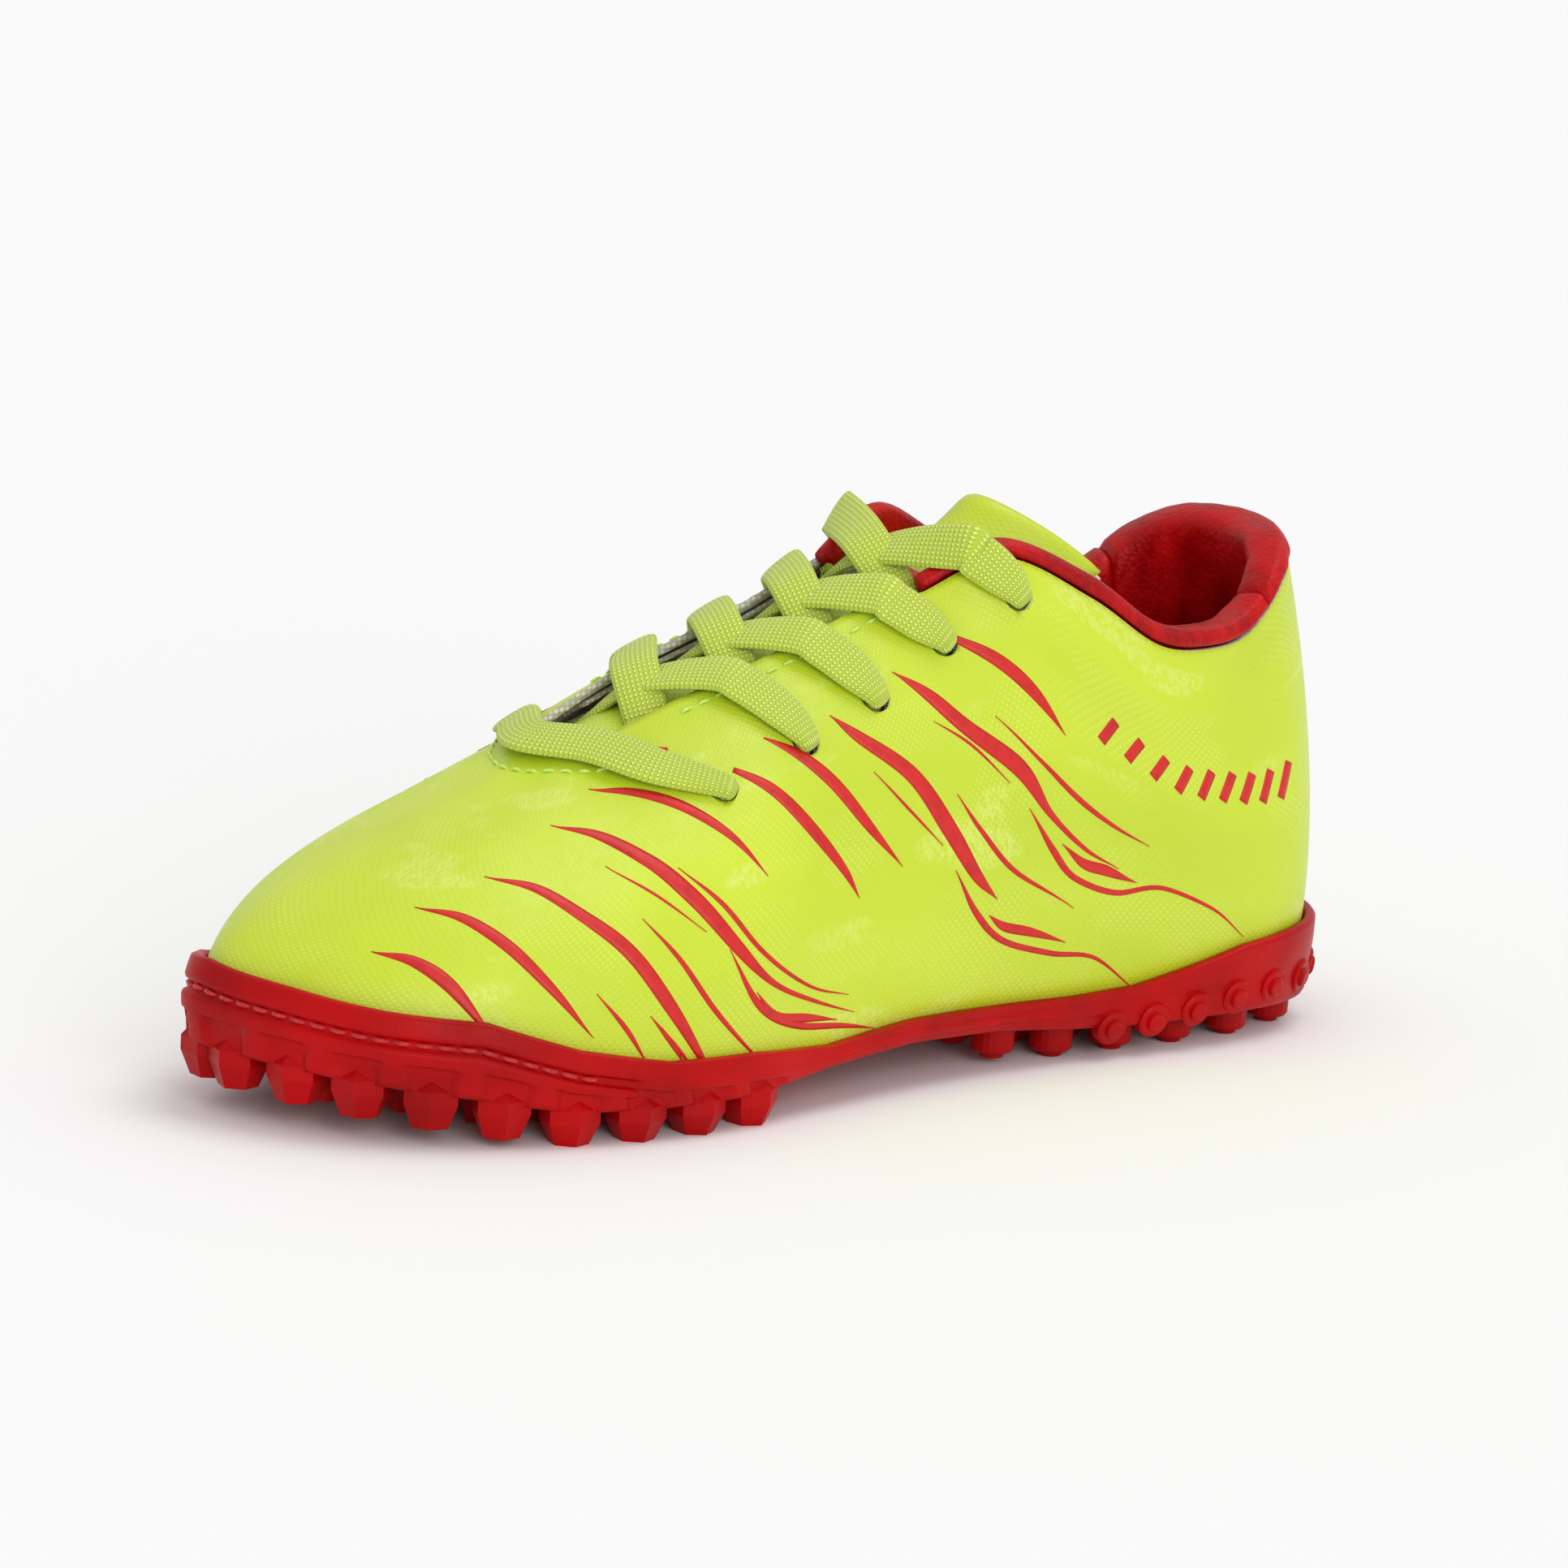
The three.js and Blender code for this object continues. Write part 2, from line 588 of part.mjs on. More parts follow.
// ---------------------------------------------------------------- tongue
// Middle line of the tongue's outer face: place along the boot and height, percent.
const TONGUE_HEIGHTS = [
  [26.2, 58.5],
  [30, 61.2],
  [36, 66],
  [42.7, 72.5],
  [52, 82],
  [58.8, 90],
  [65, 99],
  [69.2, 107.5],
];
const TONGUE_LINE = new THREE.CatmullRomCurve3(
  TONGUE_HEIGHTS.map(
    ([along, height]) =>
      new THREE.Vector3(throatMiddle(along / 100), lengthwise(along / 100), upward(height)),
  ),
);
const TONGUE_DROP = 11; // how far the tongue's edges lie below its middle
const TONGUE_WRAP = 17; // how far its top corners wrap back round the ankle

// Outer face of the tongue: s runs from its inner edge, -1, to its outer edge, 1; t from toe to top.
function tongueFace(s, t) {
  const middle = TONGUE_LINE.getPoint(t);
  const width = TONGUE_HALF_WIDTH * mix(0.72, 1, ease(t, 0, 0.35));
  const wrap = TONGUE_WRAP * ease(t, 0.62, 1) * s * s;
  return middle.add(new THREE.Vector3(width * s, wrap, -TONGUE_DROP * s * s));
}

function onTongue(s, t, offset) {
  const ds = tongueFace(s + 0.02, t).sub(tongueFace(s - 0.02, t));
  const dt = tongueFace(s, Math.min(1, t + 0.01)).sub(tongueFace(s, Math.max(0, t - 0.01)));
  return tongueFace(s, t).addScaledVector(ds.cross(dt).normalize(), offset);
}

function tongueLayer(t0, t1, outer, inner, along) {
  const across = steps(-1, 1, 8);
  const outline = [
    ...across.map((s) => new THREE.Vector2(s, outer)),
    ...across.toReversed().map((s) => new THREE.Vector2(s, inner)),
  ];
  const sections = steps(t0, t1, along).map((t) => outline.map((corner) => onTongue(corner.x, t, corner.y)));
  return loft(sections, stripCap(outline.length));
}
const TONGUE_HINGE = 0.86; // share of the tongue's line
const HINGE_GAP = 0.006;
const foamOuter = -TONGUE_SKIN - GAP;

// ---------------------------------------------------------------- cords
// A round cord with one ring of corners at each of its points.
function cord(points, diameter, sides = 8) {
  const heading = (i) => {
    const before = points[Math.max(0, i - 1)];
    const after = points[Math.min(points.length - 1, i + 1)];
    return after.clone().sub(before).normalize();
  };
  let direction = heading(0);
  const across = new THREE.Vector3(0, 0, 1).cross(direction).normalize();
  const circle = steps(0, 2 * Math.PI, sides)
    .slice(0, -1)
    .map((turn) => new THREE.Vector2(Math.cos(turn), Math.sin(turn)).multiplyScalar(diameter / 2));
  const sections = points.map((point, i) => {
    const next = heading(i);
    across.applyQuaternion(new THREE.Quaternion().setFromUnitVectors(direction, next));
    direction = next;
    const upwards = direction.clone().cross(across);
    return circle.map(({ x, y }) =>
      point.clone().addScaledVector(across, x).addScaledVector(upwards, y),
    );
  });
  return loft(sections, flatCap(circle));
}

// The lace goes down into each eyelet from outside, under the eyestay and out over the tongue to
// the next eyelet on the other side. over: this half passes over the other where they cross.
const THREAD_PROUD = GAP + THREAD_DIAMETER; // how far a sewing thread stands off the upper
const laceInside = inside - EYESTAY_THICKNESS - 2 * GAP - LACE_DIAMETER / 2 - 0.1;
const laceUnderRoll = padFace - ROLL_THICKNESS - GAP - LACE_DIAMETER / 2;
const laceOutside = LACE_DIAMETER / 2 + GAP;
const laceOverThread = THREAD_PROUD + GAP + LACE_DIAMETER / 2 + 0.2;

function throughEyelet({ u, v }) {
  return [laceOutside, inside + 0.2, laceInside].map((offset) => onLast(u, v, offset));
}

// A point above the tongue's middle line at a place along the boot.
function overTongue(y, height) {
  let low = 0;
  let high = 1;
  for (let i = 0; i < 20; i++) {
    const middle = (low + high) / 2;
    if (TONGUE_LINE.getPoint(middle).y < y) low = middle;
    else high = middle;
  }
  return onTongue(0, low, height);
}
const TAUT = 0.85; // how far a strand stands clear of the tongue, being tight
const lowStrand = GAP + LACE_DIAMETER / 2 + TAUT;
const highStrand = lowStrand + LACE_DIAMETER + GAP;

// The station where the throat's edge is this far along the boot, on one side.
function edgeStation(y, side) {
  let low = 3;
  let high = 11;
  for (let i = 0; i < 20; i++) {
    const middle = (low + high) / 2;
    if (skin(middle, 1).y < y) low = middle;
    else high = middle;
  }
  return side > 0 ? low : AROUND - low;
}
const EDGE_SLANT = 3; // a strand passes the throat's edge this far in front of or behind its eyelet

function crossing(from, to, over) {
  const leaving = edgeStation(skin(from.u, from.v).y + EDGE_SLANT, from.side);
  const arriving = edgeStation(skin(to.u, to.v).y - EDGE_SLANT, to.side);
  const start = onLast(leaving, 0.98, laceUnderRoll);
  const end = onLast(arriving, 1, laceOverThread);
  const strand = (share, eyelet, edge, offset) =>
    onLast(mix(eyelet.u, edge, share), mix(eyelet.v, 1, share), offset);
  return [
    strand(0.4, from, leaving, laceInside - 0.2),
    strand(0.75, from, leaving, laceUnderRoll),
    start,
    overTongue((start.y + end.y) / 2, over ? highStrand : lowStrand),
    end,
    strand(0.7, to, arriving, laceOverThread),
    strand(0.3, to, arriving, laceOutside + 0.2),
  ];
}

function laceHalf(side) {
  const holes = EYELET_STATIONS.map((at, i) => eyeletAt(at, i % 2 ? -side : side));
  const points = [...throughEyelet(holes[0])];
  for (let i = 1; i < holes.length; i++) {
    const over = (i % 2 === 1) === side > 0;
    points.push(...crossing(holes[i - 1], holes[i], over), ...throughEyelet(holes[i]));
  }
  const last = holes.at(-1);
  const tail = [
    [0.15, 0.72, -5.6],
    [0.3, 0.62, -6.6],
    [0.5, 0.5, -7.2],
    [0.7, 0.38, -7.2],
  ];
  points.push(...tail.map(([back, v, offset]) => onLast(last.u - back * last.side, v, offset)));
  return points;
}
const outerHalfLace = laceHalf(1);
const innerHalfLace = laceHalf(-1);
const barEnds = [-1, 1].map((side) => {
  const { u, v } = eyeletAt(EYELET_STATIONS[0], side);
  const edge = edgeStation(skin(u, v).y, side);
  return [0.4, 1].map((share) => onLast(mix(u, edge, share), mix(v, 1, share), laceOverThread));
});
const barMiddle = barEnds[0][1].clone().lerp(barEnds[1][1], 0.5).setZ(barEnds[0][1].z + 1);
const bar = [...barEnds[0], barMiddle, ...barEnds[1].toReversed()];
const laceRoute = [...innerHalfLace.toReversed(), ...bar, ...outerHalfLace];

function aglet(end, before) {
  const direction = end.clone().sub(before).normalize();
  const start = end.clone().addScaledVector(direction, GAP);
  return cord([start, start.clone().addScaledVector(direction, AGLET_LENGTH)], LACE_DIAMETER);
}

// Sewing threads lie on the face they are sewn through.
const threadOffset = GAP + THREAD_DIAMETER / 2;
const STITCH_RIM = 4; // the toe seam lies this far below the rand's top
const toeSeam = steps(-4.5, 4.5, 18).map((u) => {
  const top = wallShare(u, rowValue("rand", u) - STITCH_RIM);
  return onLast(u, top, GAP + RAND_THICKNESS + threadOffset);
});
const throatArc = steps(-3.5, 3.5, 14).map((u) => onLast(u, 0.93, threadOffset));
const EDGE_SEAM_SHARE = 0.95;
const edgeSeam = (side) =>
  steps(5.5, 8.5, 6).map((at) => onLast(side > 0 ? at : AROUND - at, EDGE_SEAM_SHARE, threadOffset));

// ---------------------------------------------------------------- the boot
const RUBBER = { color: 0xae1015, roughness: 0.55, metalness: 0 };
const NEON = { color: 0xd9f037, roughness: 0.5, metalness: 0 };
const RED_LINING = { color: 0xbb1216, roughness: 0.6, metalness: 0 };
const LACE_GREEN = { color: 0xc8eb5a, roughness: 0.85, metalness: 0 };
const FOAM = { color: 0xe1dccd, roughness: 0.95, metalness: 0 };
const BOARD = { color: 0xc9bfa6, roughness: 0.9, metalness: 0 };
const STIFFENER = { color: 0xe8e4d8, roughness: 0.7, metalness: 0 };

const boot = new THREE.Group();
function addPiece(name, solid, finish) {
  const geometry = solid.isBufferGeometry ? solid : fromManifold(solid);
  const mesh = new THREE.Mesh(geometry, new THREE.MeshStandardMaterial(finish));
  mesh.name = name;
  boot.add(mesh);
}

addPiece("outsole_forefoot", outsole.intersect(frontSide), RUBBER);
addPiece("outsole_rear", outsole.intersect(rearSide), RUBBER);
addPiece("insole_board_forefoot", board.intersect(frontSide), BOARD);
addPiece("insole_board_rear", board.intersect(rearSide), BOARD);
addPiece("sockliner_forefoot", sockliner.intersect(frontSide), RED_LINING);
addPiece("sockliner_rear", sockliner.intersect(rearSide), RED_LINING);
addPiece("upper_toe_box", upperShell.intersect(frontSide), NEON);
addPiece("upper_flex_zone", upperShell.intersect(flexWedge), NEON);
addPiece("upper_quarter_outer", punched(quarters.intersect(outerHalf)), NEON);
addPiece("upper_quarter_inner", punched(quarters.intersect(innerHalf)), NEON);
addPiece("upper_heel", rearUpper.intersect(heelSide), NEON);
addPiece("toe_puff", toePuff, STIFFENER);
addPiece("heel_counter", heelCounter, STIFFENER);
addPiece("quarter_lining", quarterLining, RED_LINING);
addPiece(
  "collar_pad_outer",
  collarPad(COLLAR_START, COLLAR_SPLIT - SPLIT_GAP, SIDE_PAD_STEPS),
  RED_LINING,
);
addPiece(
  "collar_pad_heel",
  collarPad(COLLAR_SPLIT, AROUND - COLLAR_SPLIT, 2 * (AROUND - 2 * COLLAR_SPLIT)),
  RED_LINING,
);
addPiece(
  "collar_pad_inner",
  collarPad(AROUND - COLLAR_SPLIT + SPLIT_GAP, AROUND - COLLAR_START, SIDE_PAD_STEPS),
  RED_LINING,
);
addPiece("eyestay_outer", eyestay(1), NEON);
addPiece("eyestay_inner", eyestay(-1), NEON);
const bend = TONGUE_HINGE - HINGE_GAP;
addPiece("tongue_skin", tongueLayer(0, bend, 0, -TONGUE_SKIN, 12), NEON);
addPiece("tongue_foam", tongueLayer(0, bend, foamOuter, -TONGUE_THICKNESS, 12), FOAM);
addPiece("tongue_top_skin", tongueLayer(TONGUE_HINGE, 1, 0, -TONGUE_SKIN, 4), NEON);
addPiece("tongue_top_foam", tongueLayer(TONGUE_HINGE, 1, foamOuter, -TONGUE_THICKNESS, 4), FOAM);
addPiece("lace", cord(laceRoute, LACE_DIAMETER), LACE_GREEN);
addPiece("aglet_outer", aglet(...outerHalfLace.slice(-2).toReversed()), STIFFENER);
addPiece("aglet_inner", aglet(...innerHalfLace.slice(-2).toReversed()), STIFFENER);
addPiece("toe_seam_thread", cord(toeSeam, THREAD_DIAMETER), RUBBER);
addPiece("throat_arc_thread", cord(throatArc, THREAD_DIAMETER), LACE_GREEN);
addPiece("eyestay_thread_outer", cord(edgeSeam(1), THREAD_DIAMETER), LACE_GREEN);
addPiece("eyestay_thread_inner", cord(edgeSeam(-1), THREAD_DIAMETER), LACE_GREEN);

// The frame's origin is under the middle of the boot, on the ground.
const extent = new THREE.Box3().setFromObject(boot);
const middle = extent.getCenter(new THREE.Vector3());
boot.position.set(-middle.x, -middle.y, -extent.min.z);
export default boot;
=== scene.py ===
import math

import bmesh
import bpy
import numpy as np
from mathutils import Matrix, Vector


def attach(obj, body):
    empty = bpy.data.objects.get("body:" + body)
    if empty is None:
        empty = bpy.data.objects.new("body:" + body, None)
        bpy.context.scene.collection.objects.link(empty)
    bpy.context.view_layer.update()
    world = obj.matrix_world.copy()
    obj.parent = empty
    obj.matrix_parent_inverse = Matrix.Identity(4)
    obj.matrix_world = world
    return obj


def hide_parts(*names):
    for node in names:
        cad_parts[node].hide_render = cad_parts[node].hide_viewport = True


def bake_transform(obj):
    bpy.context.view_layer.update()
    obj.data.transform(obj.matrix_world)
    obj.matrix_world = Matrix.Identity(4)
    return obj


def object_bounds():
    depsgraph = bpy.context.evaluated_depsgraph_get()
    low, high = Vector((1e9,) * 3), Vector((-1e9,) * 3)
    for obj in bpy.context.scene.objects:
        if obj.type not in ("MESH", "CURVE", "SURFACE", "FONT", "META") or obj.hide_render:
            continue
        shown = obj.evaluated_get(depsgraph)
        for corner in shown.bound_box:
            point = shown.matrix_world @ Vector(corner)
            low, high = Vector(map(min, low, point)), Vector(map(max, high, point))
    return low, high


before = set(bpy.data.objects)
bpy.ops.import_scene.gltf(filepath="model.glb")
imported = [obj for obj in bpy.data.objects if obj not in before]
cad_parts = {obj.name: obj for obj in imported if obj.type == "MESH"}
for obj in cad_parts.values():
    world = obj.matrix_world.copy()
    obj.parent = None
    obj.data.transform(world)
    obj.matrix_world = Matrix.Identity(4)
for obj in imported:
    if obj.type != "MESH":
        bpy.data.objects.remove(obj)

cad_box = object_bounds()

# ---------------------------------------------------------------- studio
# A pale seamless floor in soft light from overhead and from the outer side, with a camera in front
# of the boot's outer side, a little above it. Nothing here is part of the boot.
CAMERA_SPOT = Vector((0.998, -0.771, 0.316))
CAMERA_ROLL = math.radians(3.44)
CAMERA_LENS = 178
boot_low, boot_high = cad_box
aim = (boot_low + boot_high) / 2
look = (aim - CAMERA_SPOT).normalized()
level = look.cross(Vector((0, 0, 1))).normalized()
upright = level.cross(look)
right = level * math.cos(CAMERA_ROLL) + upright * math.sin(CAMERA_ROLL)
up = upright * math.cos(CAMERA_ROLL) - level * math.sin(CAMERA_ROLL)
camera_data = bpy.data.cameras.new("camera")
camera_data.lens = CAMERA_LENS
camera_data.sensor_width = 36
camera_data.clip_end = 50
camera = bpy.data.objects.new("camera", camera_data)
facing_boot = Matrix((right, up, -look)).transposed().to_4x4()
camera.matrix_world = Matrix.Translation(CAMERA_SPOT) @ facing_boot
bpy.context.scene.collection.objects.link(camera)
bpy.context.scene.camera = camera
bpy.context.scene.view_settings.view_transform = "Standard"

world = bpy.data.worlds.new("studio")
world.use_nodes = True
world.node_tree.nodes["Background"].inputs["Color"].default_value = (1, 1, 1, 1)
world.node_tree.nodes["Background"].inputs["Strength"].default_value = 0.72
bpy.context.scene.world = world

SOFTNESS = math.radians(35)
LIGHTS = (("overhead", 0.8, (-0.1, -0.35, -1)), ("side_fill", 0.95, (-1, 0.3, -0.4)))
for name, energy, shines in LIGHTS:
    light = bpy.data.lights.new(name, "SUN")
    light.energy = energy
    light.angle = SOFTNESS
    lamp = bpy.data.objects.new(name, light)
    lamp.rotation_euler = Vector(shines).to_track_quat("-Z", "Y").to_euler()
    bpy.context.scene.collection.objects.link(lamp)


class Finish:
    """A surface finish, built up node by node on one shader."""

    def __init__(self, name, **sockets):
        self.material = bpy.data.materials.new(name)
        self.material.use_nodes = True
        self.tree = self.material.node_tree
        self.shader = self.tree.nodes["Principled BSDF"]
        self.wire(self.shader, sockets)

    def wire(self, node, sockets):
        for name, value in sockets.items():
            socket = node.inputs[int(name[2:]) if name.startswith("in") else name.replace("_", " ")]
            if isinstance(value, bpy.types.NodeSocket):
                self.tree.links.new(value, socket)
            else:
                socket.default_value = value

    def add(self, kind, settings=(), **sockets):
        node = self.tree.nodes.new("ShaderNode" + kind)
        for name, value in dict(settings).items():
            setattr(node, name, value)
        self.wire(node, sockets)
        return node

    def place(self, flat=None):
        """Where on the piece: its own flat pattern in millimetres, or its place in space in metres."""
        if flat:
            return self.add("UVMap", {"uv_map": flat}).outputs[0]
        return self.add("TexCoord").outputs["Object"]

    def stretch(self, place, x, y, z=1.0, turn=0.0):
        return self.add("Mapping", in0=place, Scale=(x, y, z), Rotation=(0, 0, turn)).outputs[0]

    def noise(self, place, scale, detail=3.0, rough=0.55):
        return self.add("TexNoise", Vector=place, Scale=scale, Detail=detail, Roughness=rough).outputs[0]

    def cells(self, place, scale, spread=1.0):
        return self.add("TexVoronoi", Vector=place, Scale=scale, Randomness=spread).outputs["Distance"]

    def band(self, value, low, high, to_low=0.0, to_high=1.0):
        return self.add(
            "MapRange", {"interpolation_type": "SMOOTHSTEP"},
            Value=value, From_Min=low, From_Max=high, To_Min=to_low, To_Max=to_high,
        ).outputs[0]

    def sum(self, operation, a, b=0.5):
        return self.add("Math", {"operation": operation}, in0=a, in1=b).outputs[0]

    def blend(self, share, first, second):
        node = self.add("Mix", {"data_type": "RGBA"}, in0=share, in6=first, in7=second)
        return node.outputs[2]

    def colour(self, value):
        self.wire(self.shader, {"Base_Color": value})

    def roughness(self, value):
        self.wire(self.shader, {"Roughness": value})

    def relief(self, height, depth, strength=1.0):
        bump = self.add("Bump", Height=height, Distance=depth, Strength=strength)
        self.wire(self.shader, {"Normal": bump.outputs[0]})


def paint(red, green, blue):
    """A colour from a paint card, 0 to 255 a channel."""
    share = [c / 255 for c in (red, green, blue)]
    return (*[c / 12.92 if c < 0.04045 else ((c + 0.055) / 1.055) ** 2.4 for c in share], 1)


FLOOR_SIZE = 60
bpy.ops.mesh.primitive_plane_add(size=FLOOR_SIZE, location=(0, 0, 0))
floor = bpy.context.object
floor.name = "studio_floor"
pale = Finish("pale_floor", Base_Color=(0.9, 0.9, 0.9, 1), Roughness=0.9)
floor.data.materials.append(pale.material)

# ---------------------------------------------------------------- outsole
# One moulding of red rubber: a floor, a wall that the upper is glued into, faceted lugs under the
# forefoot and round studs under the heel. The toe's wall is moulded with notches and sewn on.
MM = 0.001
LENGTH = 214.5  # feather line, toe to heel
BALL = 76.3  # feather line across the ball
COLLAR = 86  # height of the heel tab
SHIFT = np.array((-3.2204, -0.7742, 0.0))  # from the last's middle line to the middle of the boot
# One row per station of the last from the toe round the outer side to the heel: place, outer and
# inner half width and height of the feather line, tops of the wall and of the sole's underside,
# place, half width and height of the top line, lean and rise of the lower bulge, reach and drop of
# the upper one. Percent of LENGTH, BALL and COLLAR; the three heights of the sole are millimetres.
LAST = np.array([
    [0.4, -5.2, 5.2, 14.0, 24.2, 11.2, 28.7, 0.0, 63.8, 7.0, 24.5, 37.5, 17.5],
    [2.8, 15.0, 15.5, 13.3, 23.0, 10.6, 28.8, 3.8, 63.9, 8.2, 25.2, 34.5, 16.5],
    [6.8, 31.0, 22.0, 12.0, 21.4, 9.6, 29.1, 6.8, 64.2, 8.2, 25.2, 30.5, 14.5],
    [12.8, 42.8, 32.0, 10.5, 20.2, 8.0, 30.1, 9.0, 65.0, 6.2, 26.0, 27.0, 12.8],
    [19.8, 49.8, 40.5, 9.0, 15.6, 5.5, 32.2, 10.8, 67.0, 3.4, 26.2, 25.0, 11.5],
    [27.3, 53.2, 44.5, 8.0, 12.8, 5.2, 36.1, 12.3, 71.4, 2.2, 26.2, 25.5, 10.0],
    [35.2, 52.3, 43.8, 7.6, 12.4, 5.2, 41.7, 13.7, 77.0, 2.3, 26.8, 26.5, 9.0],
    [44.1, 46.7, 39.6, 9.2, 10.8, 7.0, 47.8, 14.2, 82.7, 3.2, 28.0, 26.0, 11.5],
    [53.4, 41.2, 35.4, 10.4, 12.2, 7.9, 53.8, 15.0, 89.0, 8.5, 30.0, 24.6, 14.8],
    [62.7, 37.8, 33.0, 10.2, 12.0, 7.3, 58.8, 16.4, 95.6, 13.6, 32.0, 21.0, 17.4],
    [70.6, 37.1, 32.9, 9.9, 11.8, 5.8, 65.0, 23.4, 103.0, 12.6, 31.2, 9.9, 22.0],
    [76.7, 37.3, 33.3, 10.0, 12.4, 5.2, 72.0, 31.0, 95.6, 9.4, 29.1, 2.4, 26.4],
    [82.3, 37.8, 33.7, 10.0, 15.0, 5.2, 78.1, 34.8, 85.6, 8.1, 26.7, 0.0, 24.8],
    [87.4, 37.4, 34.0, 10.0, 17.4, 5.2, 83.7, 34.5, 83.5, 6.5, 25.6, -1.3, 23.4],
    [92.3, 35.1, 32.4, 10.0, 18.4, 5.2, 88.3, 32.0, 85.6, 5.8, 25.7, 0.3, 23.3],
    [96.4, 28.7, 26.6, 10.0, 18.8, 5.2, 92.5, 27.1, 93.8, 5.6, 26.4, 4.3, 24.5],
    [99.1, 16.7, 15.8, 10.0, 19.0, 5.2, 95.6, 17.1, 99.1, 7.1, 27.0, 8.3, 27.1],
    [100.0, 0.0, 0.0, 10.0, 19.0, 5.2, 97.2, 0.0, 100.4, 8.6, 27.0, 11.1, 28.6],
])
HEEL = len(LAST) - 1  # the station at the middle of the heel
AROUND = 2 * HEEL  # stations round the whole boot
THROAT_SHIFT = 4  # the throat starts this far to the inner side
THROAT_START, THROAT_END = 0.287, 0.7


def throat_middle(share):
    return -THROAT_SHIFT * np.clip((THROAT_END - share) / (THROAT_END - THROAT_START), 0, 1)


def last_rings():
    """The four control rings of the last's wall, from the feather line to the top line."""
    index = np.arange(AROUND)
    row = LAST[np.where(index <= HEEL, index, AROUND - index)]
    side = np.where(index <= HEEL, 1, -1)
    along, outer, inner, foot, _, _, top_along, top_half, top, lean, rise, reach, drop = row.T
    x = np.where(side > 0, outer, -inner) / 100 * BALL
    feather = np.c_[x, (along / 100 - 0.5) * LENGTH, foot]
    top_x = throat_middle(top_along / 100) + side * top_half / 100 * BALL
    top_line = np.c_[top_x, (top_along / 100 - 0.5) * LENGTH, top / 100 * COLLAR]
    run = np.roll(feather, -1, 0) - np.roll(feather, 1, 0)
    out = np.c_[run[:, 1], -run[:, 0], np.zeros(AROUND)]
    out /= np.linalg.norm(out, axis=1)[:, None]
    upward = np.array((0, 0, 1))
    low = feather + out * (lean / 100 * BALL)[:, None] + upward * (rise / 100 * COLLAR)[:, None]
    high = top_line + out * (reach / 100 * BALL)[:, None] - upward * (drop / 100 * COLLAR)[:, None]
    return feather, low, high, top_line


RINGS = last_rings()


def spline(points, at, closed=False):
    """A smooth curve through points, at counted in points."""
    points = np.asarray(points, float)
    count = len(points)
    at = np.asarray(at, float)
    first = np.floor(at).astype(int) if closed else np.clip(np.floor(at).astype(int), 0, count - 2)
    t = (at - first)[..., None]
    if closed:
        a, b, c, d = (points[(first + k) % count] for k in (-1, 0, 1, 2))
    else:
        b, c = points[first], points[first + 1]
        a = np.where((first == 0)[..., None], 2 * b - c, points[np.maximum(first - 1, 0)])
        d = np.where((first == count - 2)[..., None], 2 * c - b, points[np.minimum(first + 2, count - 1)])
    return 0.5 * (2 * b + (c - a) * t + (2 * a - 5 * b + 4 * c - d) * t**2 + (3 * b - a - 3 * c + d) * t**3)


def skin(u, v):
    """The outside of the upper: u counts stations round the boot, v runs up the wall."""
    u, v = np.broadcast_arrays(np.asarray(u, float), np.asarray(v, float))
    w = 1 - v
    shares = (w**3, 3 * w * w * v, 3 * w * v * v, v**3)
    return sum(spline(ring, u % AROUND, True) * share[..., None] for ring, share in zip(RINGS, shares))


def unit(vectors):
    return vectors / np.maximum(np.linalg.norm(vectors, axis=-1, keepdims=True), 1e-9)


def facing(u, v):
    """The way out of the upper's surface."""
    du = skin(np.asarray(u) + 0.05, v) - skin(np.asarray(u) - 0.05, v)
    dv = skin(u, np.asarray(v) + 0.02) - skin(u, np.asarray(v) - 0.02)
    return unit(np.cross(du, dv))


def on_last(u, v, offset):
    """A place this far off the outside of the upper, in millimetres."""
    return skin(u, v) + facing(u, v) * np.asarray(offset, float)[..., None]


def from_toe(u):
    """Stations counted from the toe on either side."""
    u = np.asarray(u, float) % AROUND
    return np.minimum(u, AROUND - u)


def row_value(column, u):
    return np.interp(from_toe(u), np.arange(HEEL + 1), LAST[:, column])


RAND, UNDER = 4, 5  # columns of LAST


def wall_share(u, height):
    """How far up the wall a height is reached."""
    low, high = np.zeros_like(u), np.full_like(u, 0.6)
    for _ in range(18):
        middle = (low + high) / 2
        below = skin(u, middle)[..., 2] < height
        low, high = np.where(below, middle, low), np.where(below, high, middle)
    return low


def ease(value, start, end):
    """A smooth step from 0 at start to 1 at end."""
    t = np.clip((value - start) / (end - start), 0, 1)
    return t * t * (3 - 2 * t)


HALF_STEPS = 360  # fine steps from the toe to the heel
ARC_SHARE = 0.1  # how far up the wall lengths along it are measured
fine_stations = np.linspace(0, AROUND, 2 * HALF_STEPS + 1)
ring_steps = np.linalg.norm(np.diff(skin(fine_stations, ARC_SHARE), axis=0), axis=1)
ring_length = np.r_[0, np.cumsum(ring_steps)]


def arc_from_toe(u):
    """Millimetres along the wall from the toe, the same on both sides."""
    return np.interp(from_toe(u), fine_stations, ring_length)


def station_at(arc):
    """The station of the outer side that lies this many millimetres from the toe."""
    return np.interp(arc, ring_length[: HALF_STEPS + 1], fine_stations[: HALF_STEPS + 1])


